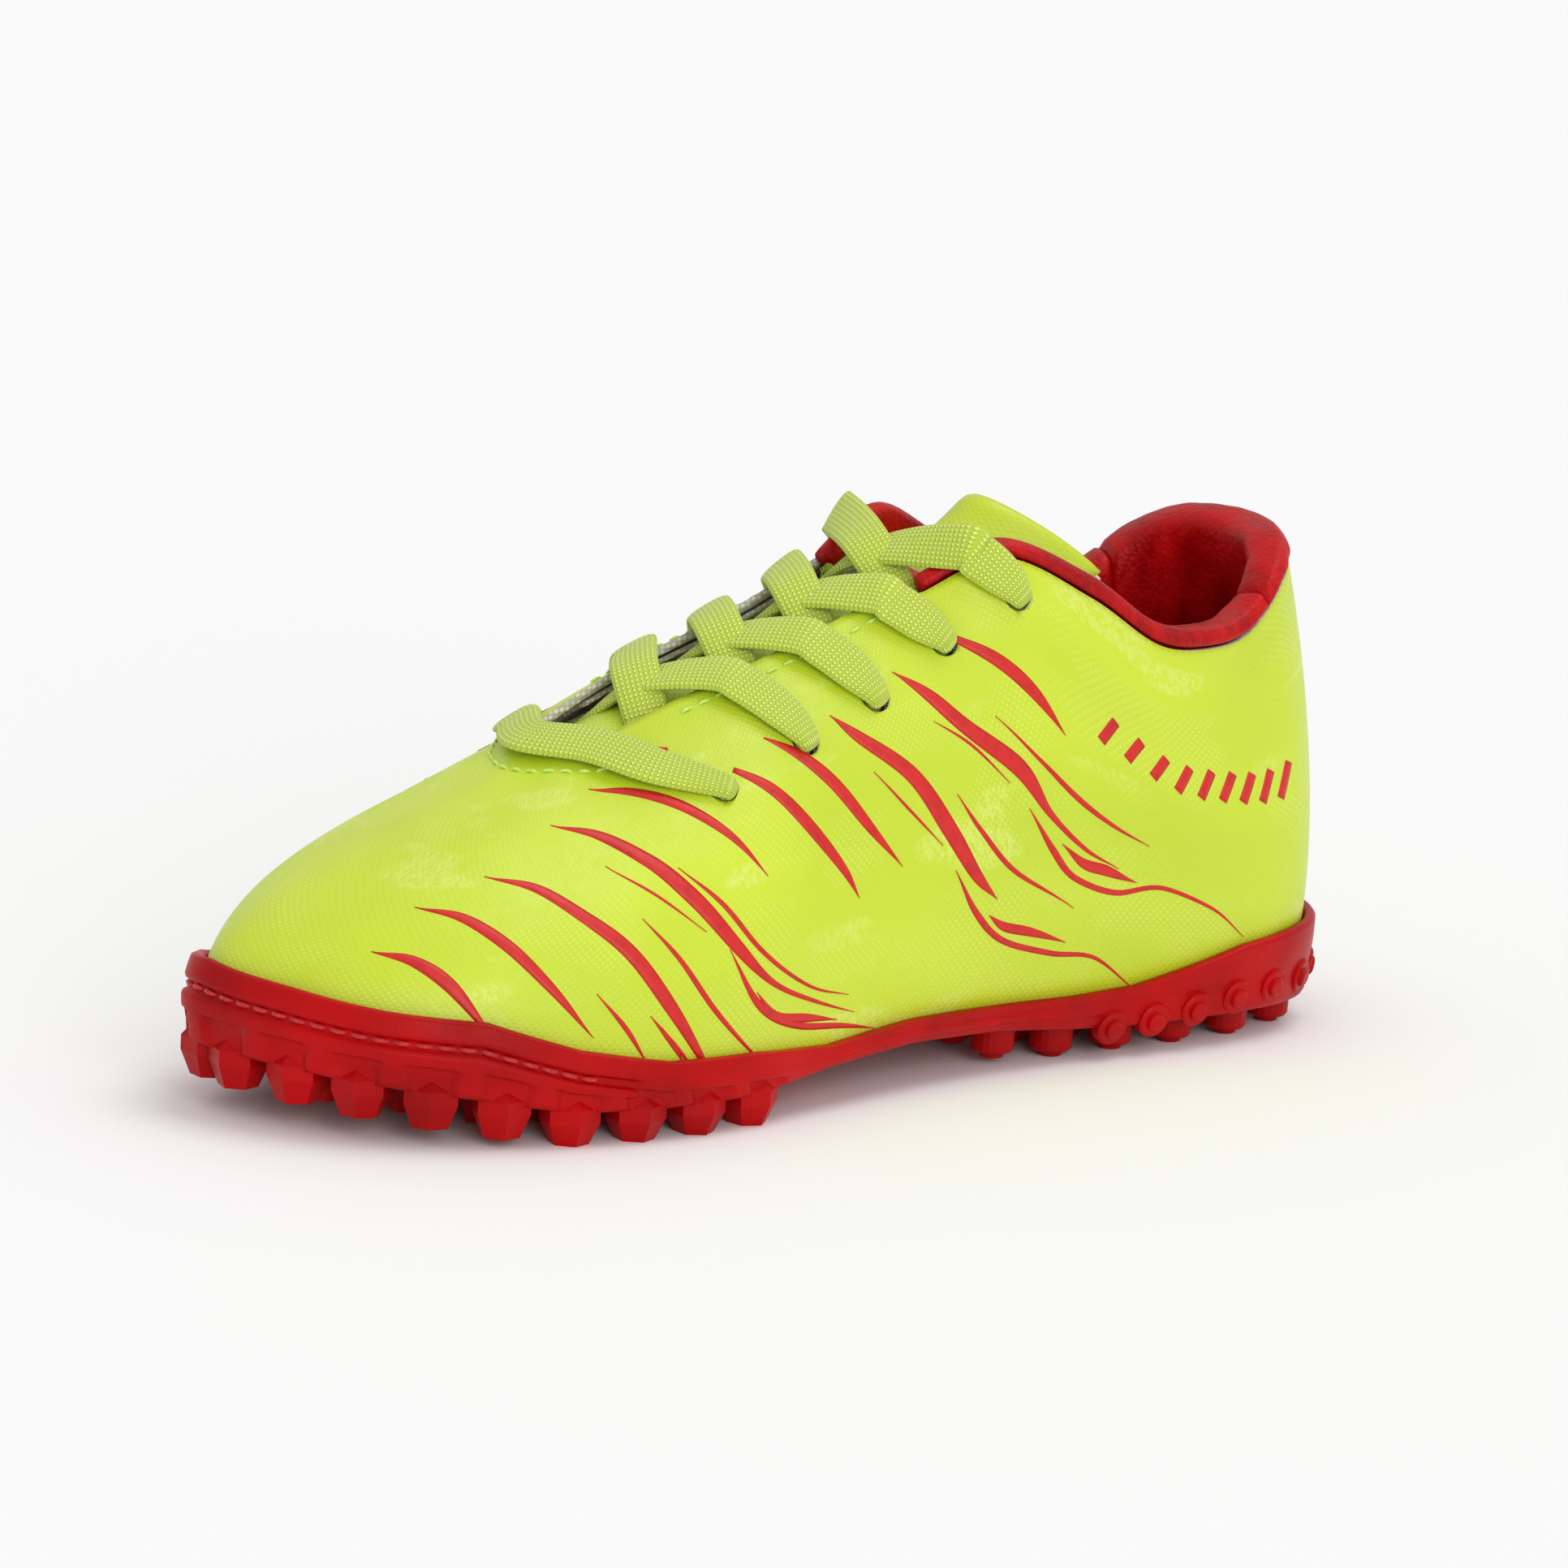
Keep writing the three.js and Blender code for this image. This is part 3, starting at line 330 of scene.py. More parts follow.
def make_piece(name, points, faces, finishes, flat=None, chosen=None, smooth=True):
    """A mesh object from points in millimetres, with its faces turned out."""
    mesh = bpy.data.meshes.new(name)
    metres = (np.asarray(points) + SHIFT) * MM
    mesh.from_pydata(metres.tolist(), [], [list(map(int, face)) for face in faces])
    for finish in finishes:
        mesh.materials.append(finish.material)
    if flat is not None:
        corners = np.empty(len(mesh.loops), int)
        mesh.loops.foreach_get("vertex_index", corners)
        places = np.asarray(flat, float)[corners].ravel()
        mesh.uv_layers.new(name="flat").uv.foreach_set("vector", places)
    if chosen is not None:
        mesh.polygons.foreach_set("material_index", np.asarray(chosen, int))
    mesh.polygons.foreach_set("use_smooth", [smooth] * len(mesh.polygons))
    shape = bmesh.new()
    shape.from_mesh(mesh)
    bmesh.ops.recalc_face_normals(shape, faces=shape.faces)
    shape.to_mesh(mesh)
    shape.free()
    piece = bpy.data.objects.new(name, mesh)
    bpy.context.scene.collection.objects.link(piece)
    return piece


def loft_faces(rows, corners, closed, cap):
    """Quads through rows of corners. The two ends are closed with a fan or strip by strip."""
    j = np.arange(rows if closed else rows - 1)[:, None]
    i = np.arange(corners)[None, :]
    k = (i + 1) % corners
    here, there = j * corners, (j + 1) % rows * corners
    faces = np.stack((here + i, there + i, there + k, here + k), -1).reshape(-1, 4).tolist()
    if not closed:
        for start in (0, (rows - 1) * corners):
            if cap == "strip":
                half = corners // 2
                faces += [
                    [start + n, start + n + 1, start + corners - 2 - n, start + corners - 1 - n]
                    for n in range(half - 1)
                ]
            else:
                faces.append([start + n for n in range(corners)])
    return faces


def shape_boolean(piece, tool, operation, merge_self=False):
    """Joins a tool to a piece, or cuts the piece with it."""
    cut = piece.modifiers.new("join", "BOOLEAN")
    cut.operation, cut.object, cut.solver, cut.use_self = operation, tool, "EXACT", merge_self
    depsgraph = bpy.context.evaluated_depsgraph_get()
    piece.data = bpy.data.meshes.new_from_object(piece.evaluated_get(depsgraph))
    piece.modifiers.clear()
    bpy.data.objects.remove(tool)


rubber = Finish("red_rubber", Roughness=0.42, Specular_IOR_Level=0.14)
spot = rubber.place()
cloud = rubber.noise(spot, 38, 4)
rubber.colour(rubber.blend(rubber.band(cloud, 0.3, 0.75), paint(150, 0, 2), paint(186, 2, 6)))
rubber.roughness(rubber.band(rubber.noise(spot, 90, 3), 0.3, 0.75, 0.34, 0.52))
rubber.relief(rubber.noise(spot, 2600, 3), 0.00012, 0.5)

WALL = 2.3  # outer face of the rubber wall off the upper
FIT = 0.3  # gap between glued pieces
LUG_PITCH = 11.8
SEAM_DROP = 4.0  # the toe's stitch groove lies this far under the wall's top
SEAM_END = 4.6  # stations on each side of the toe
TREAD_END = 6.4  # station where the notched side of the forefoot ends
BELLY, LIP, SHELF, RIDGE, GROOVE, NOTCH = 0.35, 0.35, 0.45, 0.5, 0.8, 1.0  # how far each stands out or in


def wall_relief(u, z):
    """Moulded relief of the wall: a stitch groove, and notches between the side lugs."""
    at = from_toe(u)
    top, under = row_value(RAND, u), row_value(UNDER, u)
    groove_at = top - SEAM_DROP
    toe = 1 - ease(at, SEAM_END, SEAM_END + 0.15)
    groove = toe * ease(np.abs(z - groove_at), 1.0, 0.55)
    lip = toe * ease(z, groove_at + 0.4, groove_at + 1.2)
    tread = 1 - ease(at, TREAD_END - 0.3, TREAD_END + 0.2)
    ledge = np.where(at < SEAM_END, groove_at - 1.2, top - 3.2)
    height = (z - under) / np.maximum(ledge - under, 1)
    period = np.abs((arc_from_toe(u) / LUG_PITCH) % 1 - 0.5)
    tooth = ease(period, 0.24 + 0.1 * height, 0.30 + 0.1 * height)
    tooth = np.where(height > 0.72, 1, tooth) * ease(height, 1.12, 1.0)
    notch = tread * (1 - np.maximum(tooth, ease(height, 0.68, 0.8))) * ease(height, 1.0, 0.95)
    shelf = tread * ease(height, 1.15, 0.95)
    waist = ease(at, TREAD_END, TREAD_END + 1) * (1 - ease(at, 9.5, 11))
    ridge = waist * ease(np.abs(z - (under + 0.45 * (top - under))), 0.7, 0.2)
    belly = np.sin(np.pi * np.clip((z - under) / (top - under), 0, 1))
    raised = BELLY * belly + LIP * lip + SHELF * shelf + RIDGE * ridge
    return raised - GROOVE * groove - NOTCH * notch


def outsole_cup():
    """The sole without its lugs: a wall section carried round the boot, closed by two floors."""
    columns, levels, across = 792, 30, 8
    u = np.arange(columns) * AROUND / columns
    foot = skin(u, 0)
    side = facing(u, 0) * (1, 1, 0)
    side = unit(side)
    top, under = row_value(RAND, u), row_value(UNDER, u)
    share = wall_share(u, top)

    def beside(offset, z):
        return np.c_[(foot + side * np.asarray(offset)[..., None])[:, :2], z]

    section = [beside(np.full(columns, FIT), foot[:, 2] - FIT)]
    section += [on_last(u, share * s, FIT) for s in (0.3, 0.65, 0.93)]
    section += [on_last(u, share * s, d) for s, d in ((1.0, 0.6), (1.02, 1.2), (1.01, 1.9))]
    for level in np.linspace(0.97, 0, levels):
        z = under + 0.9 + level * (top - under - 0.9)
        v = wall_share(u, z)
        out = unit(side + (facing(u, v) - side) * np.minimum(1, v / 0.15)[:, None])
        on_wall = skin(u, v) + out * (WALL + wall_relief(u, z))[:, None]
        section.append(np.c_[on_wall[:, :2], np.where(v > 0.001, on_wall[:, 2], z)])
    section.append(beside(np.full(columns, WALL - 0.3), under + 0.25))
    section.append(beside(np.full(columns, WALL - 1.0), under))
    rows = np.stack(section, 1)
    corners = rows.shape[1]
    points = rows.reshape(-1, 3)
    faces = []
    for j in range(columns):
        here, there = j * corners, (j + 1) % columns * corners
        faces += [[here + i, there + i, there + i + 1, here + i + 1] for i in range(corners - 1)]
    half = columns // 2
    for corner in (0, corners - 1):
        left = np.arange(half + 1) * corners + corner
        opposite = (columns - np.arange(half + 1)) % columns * corners + corner
        steps = np.linspace(0, 1, across + 1)[1:-1, None]
        grid = points[left][:, None] * (1 - steps) + points[opposite][:, None] * steps
        start = len(points)
        points = np.r_[points, grid[1:-1].reshape(-1, 3)]
        index = [[int(left[0])] * (across + 1)]
        for j in range(1, half):
            middle = [start + (j - 1) * (across - 1) + i for i in range(across - 1)]
            index.append([int(left[j]), *middle, int(opposite[j])])
        index.append([int(left[half])] * (across + 1))
        for a, b in zip(index, index[1:]):
            for i in range(across):
                face = list(dict.fromkeys((a[i], a[i + 1], b[i + 1], b[i])))
                if len(face) > 2:
                    faces.append(face)
    return points, faces


def stacked_rings(centre, axis, first, rings, sides):
    """A closed block through rings (distance along axis, radius) round a centre; first is its side."""
    second = np.cross(axis, first)
    turns = (np.arange(sides) + 0.5) * 2 * np.pi / sides
    circle = np.cos(turns)[:, None] * first + np.sin(turns)[:, None] * second
    points = np.concatenate([centre + axis * d + circle * r for d, r in rings])
    return points, loft_faces(len(rings), sides, False, "fan")


def gather(blocks):
    """Several closed blocks as one set of points and faces."""
    points, faces, start = [], [], 0
    for block_points, block_faces in blocks:
        points.append(block_points)
        faces += [[corner + start for corner in face] for face in block_faces]
        start += len(block_points)
    return np.concatenate(points), faces


DOWN = np.array((0.0, 0.0, -1.0))
FLEX_Y = (0.254 - 0.5) * LENGTH
LUG_REACH = 5.8  # how far lugs stand under the sole
SIDES = (1, -1)  # outer, inner


def on_side(u, side):
    """A station of the outer side, or its like on the inner side."""
    return u if side > 0 else AROUND - u


def side_blocks():
    """Faceted lugs that climb the wall round the forefoot, one in each notch."""
    blocks = []
    for side in SIDES:
        end = arc_from_toe(TREAD_END)
        for arc in np.arange(0.5, end / LUG_PITCH) * LUG_PITCH:
            u = on_side(station_at(arc), side)
            out = unit(facing(u, 0) * (1, 1, 0))
            under = float(row_value(UNDER, u))
            tip = max(0.0, under - LUG_REACH)
            centre = skin(u, 0) * (1, 1, 0) - out * 1.6
            rings = [(-(under + 3.4), 2.6), (-(under + 0.6), 5.0), (-(under - 1.8), 5.0), (-tip, 3.3)]
            corner = math.pi / 6
            first = out * math.cos(corner) + np.cross(DOWN, out) * math.sin(corner)
            blocks.append(stacked_rings(centre, DOWN, first, rings, 6))
    return blocks


def sole_edge(y, side):
    """Where the sole's edge is at this place along the boot, and its height there."""
    low, high = 0.0, float(HEEL)
    for _ in range(22):
        middle = (low + high) / 2
        if skin(on_side(middle, side), 0)[1] < y:
            low = middle
        else:
            high = middle
    return skin(on_side(low, side), 0)[0], float(row_value(UNDER, low))


def stud_rows(y0, y1, pitch, margin, skip_ends):
    """Places of lugs in rows across the sole, an even pitch apart."""
    for row, y in enumerate(np.linspace(y0, y1, max(1, round((y1 - y0) / pitch)) + 1)):
        (outer, under), (inner, _) = sole_edge(y, 1), sole_edge(y, -1)
        left, right_end = inner + margin, outer - margin
        count = max(1, round((right_end - left) / pitch))
        places = np.linspace(left, right_end, count + 1)
        for x in places[1:-1] if skip_ends else places:
            yield x, y, under, row


def tread_blocks():
    """Every lug and stud: forefoot sides and rows, heel rows, and the button studs on the wall."""
    blocks = side_blocks()
    fore_rows = [
        *stud_rows(FLEX_Y - 4.3 * LUG_PITCH, FLEX_Y - LUG_PITCH / 2, LUG_PITCH, 4.6, True),
        *stud_rows(FLEX_Y + LUG_PITCH / 2, FLEX_Y + 3.5 * LUG_PITCH, LUG_PITCH, 4.6, True),
    ]
    for x, y, under, row in fore_rows:
        tip = max(0.0, under - LUG_REACH)
        rings = [(-(under + 0.6), 4.5), (-(under - 2.4), 4.2), (-tip, 3.0)]
        first = np.array((1.0, 0, 0)) if row % 2 else np.array((0, 1.0, 0))
        blocks.append(stacked_rings(np.array((x, y, 0)), DOWN, first, rings, 6))
    heel_rows = stud_rows((0.65 - 0.5) * LENGTH, (0.95 - 0.5) * LENGTH, 12, 4.7, False)
    for x, y, under, _ in heel_rows:
        tip = max(0.0, under - LUG_REACH)
        collar = [(-(under + 0.6), 3.9), (-(tip + 1.6), 3.7), (-(tip + 1.1), 3.3)]
        rings = [*collar, (-(tip + 1.0), 2.1), (-(tip + 0.2), 2.0), (-tip, 1.7)]
        blocks.append(stacked_rings(np.array((x, y, 0)), DOWN, np.array((1.0, 0, 0)), rings, 20))
    buttons_from, buttons_to, button_pitch = 10.6, 17.6, 9.0
    for side in SIDES:
        for arc in np.arange(arc_from_toe(buttons_from), arc_from_toe(buttons_to), button_pitch):
            at = station_at(arc)
            u = on_side(at, side)
            z = 6.4 + 3.4 * float(ease(at, buttons_from, 14))
            v = wall_share(np.array([u]), z)[0]
            out = facing(u, v)
            base = skin(u, v) * (1, 1, 0) + np.array((0, 0, z)) + out * (WALL - 0.6)
            rings = [(-0.4, 3.2), (1.2, 3.1), (1.5, 2.7), (1.5, 1.7), (2.0, 1.6), (2.2, 1.2)]
            blocks.append(stacked_rings(base, out, unit(np.cross(out, DOWN)), rings, 20))
    return blocks


outsole = make_piece("outsole", *outsole_cup(), [rubber])
tread = make_piece("tread", *gather(tread_blocks()), [rubber], smooth=False)
shape_boolean(outsole, tread, "UNION", True)


def bends_at_ball(piece):
    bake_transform(piece)


bends_at_ball(outsole)
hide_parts("outsole_forefoot", "outsole_rear")

# ---------------------------------------------------------------- footbed
# A stiff fibre board under a soft sockliner: red knitted textile on foam, moulded a little up the
# wall all round. The board's two halves keep their plain cut shape and are hidden in use.
def refinish(name, finish):
    """Gives a solid of the frame its finish."""
    solid = bpy.data.objects[name]
    solid.data.materials.clear()
    solid.data.materials.append(finish.material)


board_fibre = Finish("board_fibre", Roughness=0.88)
spot = board_fibre.place()
fleck = board_fibre.noise(board_fibre.stretch(spot, 900, 260, 900), 1, 4)
fibres = board_fibre.band(fleck, 0.35, 0.7)
board_fibre.colour(board_fibre.blend(fibres, paint(176, 160, 128), paint(214, 202, 176)))
board_fibre.relief(fleck, 0.0002, 0.6)
for name in ("insole_board_forefoot", "insole_board_rear"):
    refinish(name, board_fibre)


def knit(name, dark, light, pitch, sheen=0.3):
    """Knitted textile: rows of small loops with thin gaps. Each loop is painted lighter at its middle and
    darker at its edge and in the gaps, as painted shade; its tone also varies at random.
    """
    textile = Finish(name, Roughness=0.8, Sheen_Weight=sheen)
    spot = textile.place()
    loops = textile.cells(textile.stretch(spot, 1 / pitch, 0.7 / pitch, 0.7 / pitch), 1, 0.15)
    tone = textile.noise(spot, 120, 3)
    uneven = textile.band(tone, 0.2, 0.8, 0.75, 1)
    # painted shade: the loops' edges and the gaps between them are painted darker, where the relief is low
    gap_shade_and_tone = textile.sum("MULTIPLY", textile.band(loops, 0.62, 0.2), uneven)
    textile.colour(textile.blend(gap_shade_and_tone, dark, light))
    textile.relief(textile.band(loops, 0.6, 0.1), 0.00025, 0.7)
    return textile


sock_knit = knit("sock_knit", paint(120, 8, 12), paint(196, 22, 26), 0.0011)


def sockliner_shape():
    """A thin cushion inside the wall, rounded at its rim and turned up a little there."""
    stations = np.linspace(0.25, HEEL - 0.25, 120)
    across = np.linspace(0, 1, 25)
    inset, bottom, thick = 4.7, 1.95, 3.0
    edges = []
    for u in (stations, AROUND - stations):
        inwards = unit(facing(u, 0) * (1, 1, 0)) * -inset
        edges.append(skin(u, 0) + inwards)
    face = edges[0][:, None] * (1 - across[:, None]) + edges[1][:, None] * across[:, None]
    lift = np.abs(2 * across - 1)
    crown = 1.2 * lift**6 - 0.5 * (1 - lift**2)
    rim = np.sqrt(np.clip(1 - ((lift - 0.94) / 0.06).clip(0) ** 2, 0, 1))
    upward = np.array((0, 0, 1))
    upper_face = face + upward * (bottom + thick * (0.4 + 0.6 * rim) + crown)[None, :, None]
    lower_face = face + upward * bottom
    rows = np.concatenate((upper_face, lower_face[:, ::-1]), 1)
    return rows.reshape(-1, 3), loft_faces(rows.shape[0], rows.shape[1], False, "strip")


sockliner = make_piece("sockliner", *sockliner_shape(), [sock_knit])
bends_at_ball(sockliner)
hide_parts("sockliner_forefoot", "sockliner_rear")

# ---------------------------------------------------------------- upper
# One skin of neon coated synthetic on a pale textile backing, pulled over the last. A dot screen
# and dry brush marks are printed under its clear coat, and ten plain eyelets are punched in it.
neon = Finish("neon_synthetic", Roughness=0.4, Coat_Weight=0.12, Coat_Roughness=0.3)
flat = neon.place("flat")
dots = neon.cells(neon.stretch(flat, 1, 1, 1, math.pi / 4), 0.95, 0.0)
screen = neon.band(dots, 0.36, 0.2)
patches = neon.band(neon.noise(neon.stretch(flat, 0.035, 0.05), 1, 3), 0.44, 0.6)
brushed = neon.noise(neon.stretch(flat, 0.02, 0.06, 1, 0.6), 1, 2)
dry = neon.noise(neon.stretch(flat, 0.9, 0.5, 1, 0.6), 1, 5, 0.75)
strokes = neon.sum("MULTIPLY", neon.band(brushed, 0.58, 0.63), neon.band(dry, 0.42, 0.56))
weave = neon.sum("MULTIPLY", screen, patches)
tone = neon.noise(neon.stretch(flat, 0.012, 0.02), 1, 2)
ground = neon.blend(neon.band(tone, 0.3, 0.7), paint(188, 209, 34), paint(201, 221, 40))
ground = neon.blend(neon.sum("MULTIPLY", weave, 0.42), ground, paint(222, 234, 118))
ground = neon.blend(neon.sum("MULTIPLY", strokes, 0.38), ground, paint(224, 236, 130))
neon.colour(ground)
neon.roughness(neon.band(neon.noise(neon.stretch(flat, 0.4, 0.4), 1, 3), 0.3, 0.7, 0.34, 0.5))
print_height = neon.sum("ADD", neon.sum("MULTIPLY", screen, 0.6), neon.sum("MULTIPLY", dry, 0.8))
neon.relief(print_height, 0.00012, 0.55)
backing = knit("pale_backing", paint(176, 170, 156), paint(232, 228, 214), 0.0008, 0.2)

THICKNESS = 1.4
COLLAR_START = 9  # station where the collar's roll begins
UPPER_TOP = 0.945
WALL_HEIGHT = 78  # millimetres up the flat pattern, from the feather line to the top line


def upper_top(u):
    """The upper is cut lower where the collar rolls over its edge."""
    return 1 + (UPPER_TOP - 1) * ease(from_toe(u), COLLAR_START - 0.5, COLLAR_START)


def layer(stations, low, high, outer, inner, up_steps, closed=False):
    """Points, faces and flat pattern of a layer of the wall between two offsets from the last."""
    share = np.linspace(0, 1, up_steps + 1)
    u = stations[:, None] + 0 * share
    low, high, outer, inner = (
        np.broadcast_to(np.asarray(each, float), stations.shape)[:, None]
        for each in (low, high, outer, inner)
    )
    v = low + (high - low) * share
    rows = np.concatenate((on_last(u, v, outer + 0 * v), on_last(u, v, inner + 0 * v)[:, ::-1]), 1)
    pattern = np.stack((arc_from_toe(u) + 0 * v, WALL_HEIGHT * v), -1)
    pattern = np.concatenate((pattern, pattern[:, ::-1]), 1)
    faces = loft_faces(len(stations), rows.shape[1], closed, "strip")
    return rows.reshape(-1, 3), faces, pattern.reshape(-1, 2)


UP = 44
stations = np.arange(AROUND * 14) / 14
points, faces, flat_pattern = layer(stations, 0, upper_top(stations), 0, -THICKNESS, UP, True)
ring_corners = 2 * (UP + 1)
outside = [0 if max(c % ring_corners for c in face) <= UP else 1 for face in faces]
upper = make_piece("upper", points, faces, [neon, backing], flat_pattern, outside)

EYELET_STATIONS = (5.5, 6.6, 7.65, 8.95, 10.05)
EYELET_HOLE = 4.8


def eyelet_share(at):
    return np.interp(at, (EYELET_STATIONS[0], EYELET_STATIONS[-1]), (0.69, 0.85))


def punch_eyelets(piece, sides):
    hole = [(-6, EYELET_HOLE / 2), (6, EYELET_HOLE / 2)]
    blocks = []
    for side in sides:
        for at in EYELET_STATIONS:
            u, v = on_side(at, side), float(eyelet_share(at))
            out = facing(u, v)
            first = unit(np.cross(out, DOWN))
            blocks.append(stacked_rings(skin(u, v), out, first, hole, 24))
    shape_boolean(piece, make_piece("punch", *gather(blocks), [backing]), "DIFFERENCE")


punch_eyelets(upper, SIDES)
bends_at_ball(upper)
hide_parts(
    "upper_toe_box", "upper_flex_zone", "upper_quarter_outer", "upper_quarter_inner", "upper_heel",
)

# ---------------------------------------------------------------- printed stripes
# Claw-like stripes screen printed in red ink on both sides of the upper, thick in the middle with
# sharp ends and frayed tails, and a row of slanted bars on each heel quarter.
ink = Finish("red_ink", Roughness=0.45)
spot = ink.place()
patchy = ink.noise(spot, 420, 4, 0.7)
ink.colour(ink.blend(ink.band(patchy, 0.3, 0.6), paint(186, 12, 10), paint(206, 20, 14)))
ink.relief(patchy, 0.0001, 0.4)
INK_PROUD, INK_DEEP = 0.14, 0.25


def printed_strip(surface, line, widths, step=1.1):
    """A thin strip of ink along a line of (u, v) stops on a surface, with its width at each stop."""
    line, widths = np.asarray(line, float), np.asarray(widths, float)
    u, v = spline(line, np.linspace(0, len(line) - 1, 8 * len(line))).T
    span = np.linalg.norm(np.diff(surface(u, v, 0.0 * u), axis=0), axis=1).sum()
    count = max(6, int(span / step))
    at = np.linspace(0, len(line) - 1, count)
    centre = spline(line, at)
    width = np.maximum(spline(widths[:, None], at)[:, 0], 0.12)
    u, v = centre.T
    level = np.zeros_like(u)
    du = (surface(u + 0.02, v, level) - surface(u - 0.02, v, level)) / 0.04
    dv = (surface(u, v + 0.005, level) - surface(u, v - 0.005, level)) / 0.01
    middle = surface(u, v, level)
    ahead = unit(np.gradient(middle, axis=0))
    sideways = unit(np.cross(np.cross(du, dv), ahead))
    uu, uv, vv = (du * du).sum(1), (du * dv).sum(1), (dv * dv).sum(1)
    us, vs = (du * sideways).sum(1), (dv * sideways).sum(1)
    spread = uu * vv - uv * uv
    step_u, step_v = (us * vv - vs * uv) / spread, (vs * uu - us * uv) / spread
    shares = np.array((-0.5, -0.17, 0.17, 0.5))
    grid_u = u[:, None] + step_u[:, None] * width[:, None] * shares
    grid_v = v[:, None] + step_v[:, None] * width[:, None] * shares
    proud = np.array((0.02, INK_PROUD, INK_PROUD, 0.02)) + 0 * grid_u
    top = surface(grid_u, grid_v, proud)
    bottom = surface(grid_u, grid_v, 0 * proud - INK_DEEP)
    rows = np.concatenate((top, bottom[:, ::-1]), 1)
    return rows.reshape(-1, 3), loft_faces(count, 8, False, "strip")


# Each stripe from its top down: stations from the toe, share up the wall, width in millimetres.
STRIPES = [
    [(9.1, 0.81, 1.2), (9.5, 0.73, 2.1), (9.9, 0.64, 2.0), (10.2, 0.56, 0.1)],
    [
        (8.0, 0.81, 0.1), (8.4, 0.72, 2.0), (8.8, 0.62, 2.5), (9.4, 0.50, 2.9),
        (9.7, 0.40, 1.2), (10.15, 0.33, 0.7), (10.7, 0.30, 0.1),
    ],
    [(9.25, 0.62, 0.1), (9.75, 0.50, 0.7), (10.3, 0.42, 0.9), (11.3, 0.37, 0.1)],
    [(8.35, 0.66, 0.1), (8.8, 0.58, 0.5), (9.2, 0.48, 0.1)],
    [
        (9.4, 0.42, 0.1), (9.65, 0.33, 1.2), (9.95, 0.27, 1.0), (10.6, 0.245, 0.9),
        (11.5, 0.27, 0.7), (12.4, 0.22, 0.5), (13.1, 0.13, 0.1),
    ],
    [(9.8, 0.34, 0.1), (10.1, 0.30, 1.5), (10.5, 0.29, 1.6), (11.0, 0.275, 0.1)],
    [
        (7.0, 0.77, 0.1), (7.3, 0.69, 2.0), (7.9, 0.56, 2.6),
        (8.3, 0.42, 2.8), (8.6, 0.31, 2.0), (8.85, 0.25, 0.1),
    ],
    [(7.4, 0.60, 0.1), (7.8, 0.49, 0.5), (8.2, 0.39, 0.1)],
    [(8.45, 0.49, 0.1), (8.7, 0.40, 0.8), (9.1, 0.30, 0.8), (9.9, 0.21, 0.1)],
    [
        (8.35, 0.33, 0.1), (8.6, 0.23, 1.1), (8.95, 0.16, 1.0),
        (9.6, 0.12, 0.9), (10.3, 0.10, 0.6), (11.1, 0.015, 0.1),
    ],
    [(8.75, 0.22, 0.1), (8.95, 0.19, 1.4), (9.3, 0.17, 1.4), (9.8, 0.14, 0.1)],
    [(6.1, 0.78, 0.3), (6.5, 0.70, 1.9), (6.9, 0.60, 2.2), (7.3, 0.48, 1.7), (7.7, 0.37, 0.1)],
    [(5.65, 0.73, 1.0), (6.1, 0.64, 2.0), (6.6, 0.51, 2.2), (7.0, 0.40, 1.4), (7.2, 0.33, 0.1)],
    [(3.4, 0.84, 0.1), (4.2, 0.79, 1.5), (4.9, 0.70, 1.9), (5.5, 0.58, 1.4), (6.0, 0.45, 0.1)],
    [(4.35, 0.905, 0.1), (4.65, 0.885, 1.8), (4.95, 0.86, 1.0)],
    [
        (2.7, 0.74, 0.1), (3.7, 0.68, 1.8), (4.5, 0.57, 2.4), (5.1, 0.45, 2.7),
        (5.7, 0.31, 2.2), (6.2, 0.21, 1.0), (6.8, 0.13, 0.6), (7.3, 0.075, 0.1),
    ],
    [(3.9, 0.58, 0.1), (4.6, 0.48, 0.5), (5.3, 0.36, 0.1)],
    [(4.9, 0.53, 0.1), (5.45, 0.42, 0.8), (6.0, 0.29, 0.8), (6.7, 0.17, 0.5), (7.2, 0.12, 0.1)],
    [(5.6, 0.31, 0.1), (6.05, 0.17, 1.3), (6.6, 0.09, 1.1), (7.2, 0.05, 0.8), (7.6, 0.02, 0.1)],
    [(6.0, 0.20, 0.1), (6.3, 0.13, 1.5), (6.7, 0.10, 1.3), (7.1, 0.07, 0.1)],
    [
        (2.1, 0.58, 0.1), (2.9, 0.54, 1.6), (3.7, 0.45, 2.1),
        (4.4, 0.34, 2.4), (5.0, 0.19, 2.2), (5.55, 0.03, 0.8),
    ],
    [(4.1, 0.24, 0.1), (4.5, 0.15, 0.8), (4.8, 0.06, 0.1)],
    [(4.75, 0.18, 0.1), (5.0, 0.12, 0.8), (5.25, 0.05, 0.1)],
    [(4.9, 0.15, 0.1), (5.15, 0.09, 0.6), (5.35, 0.04, 0.1)],
    [(4.5, 0.42, 0.1), (5.0, 0.31, 0.8), (5.5, 0.18, 0.9), (6.2, 0.03, 0.3)],
    [(1.55, 0.47, 0.1), (2.2, 0.45, 1.6), (2.9, 0.37, 2.0), (3.6, 0.25, 1.5), (4.15, 0.13, 0.1)],
    [(1.5, 0.32, 0.1), (2.0, 0.31, 1.7), (2.5, 0.25, 2.1), (3.05, 0.13, 0.6)],
]
SPREAD = 1.12  # the ink spreads a little wider than its screen
BAR_COUNT, BAR_WIDTH = 9, 2.2
BAR_STATIONS = (10.95, 14.4)


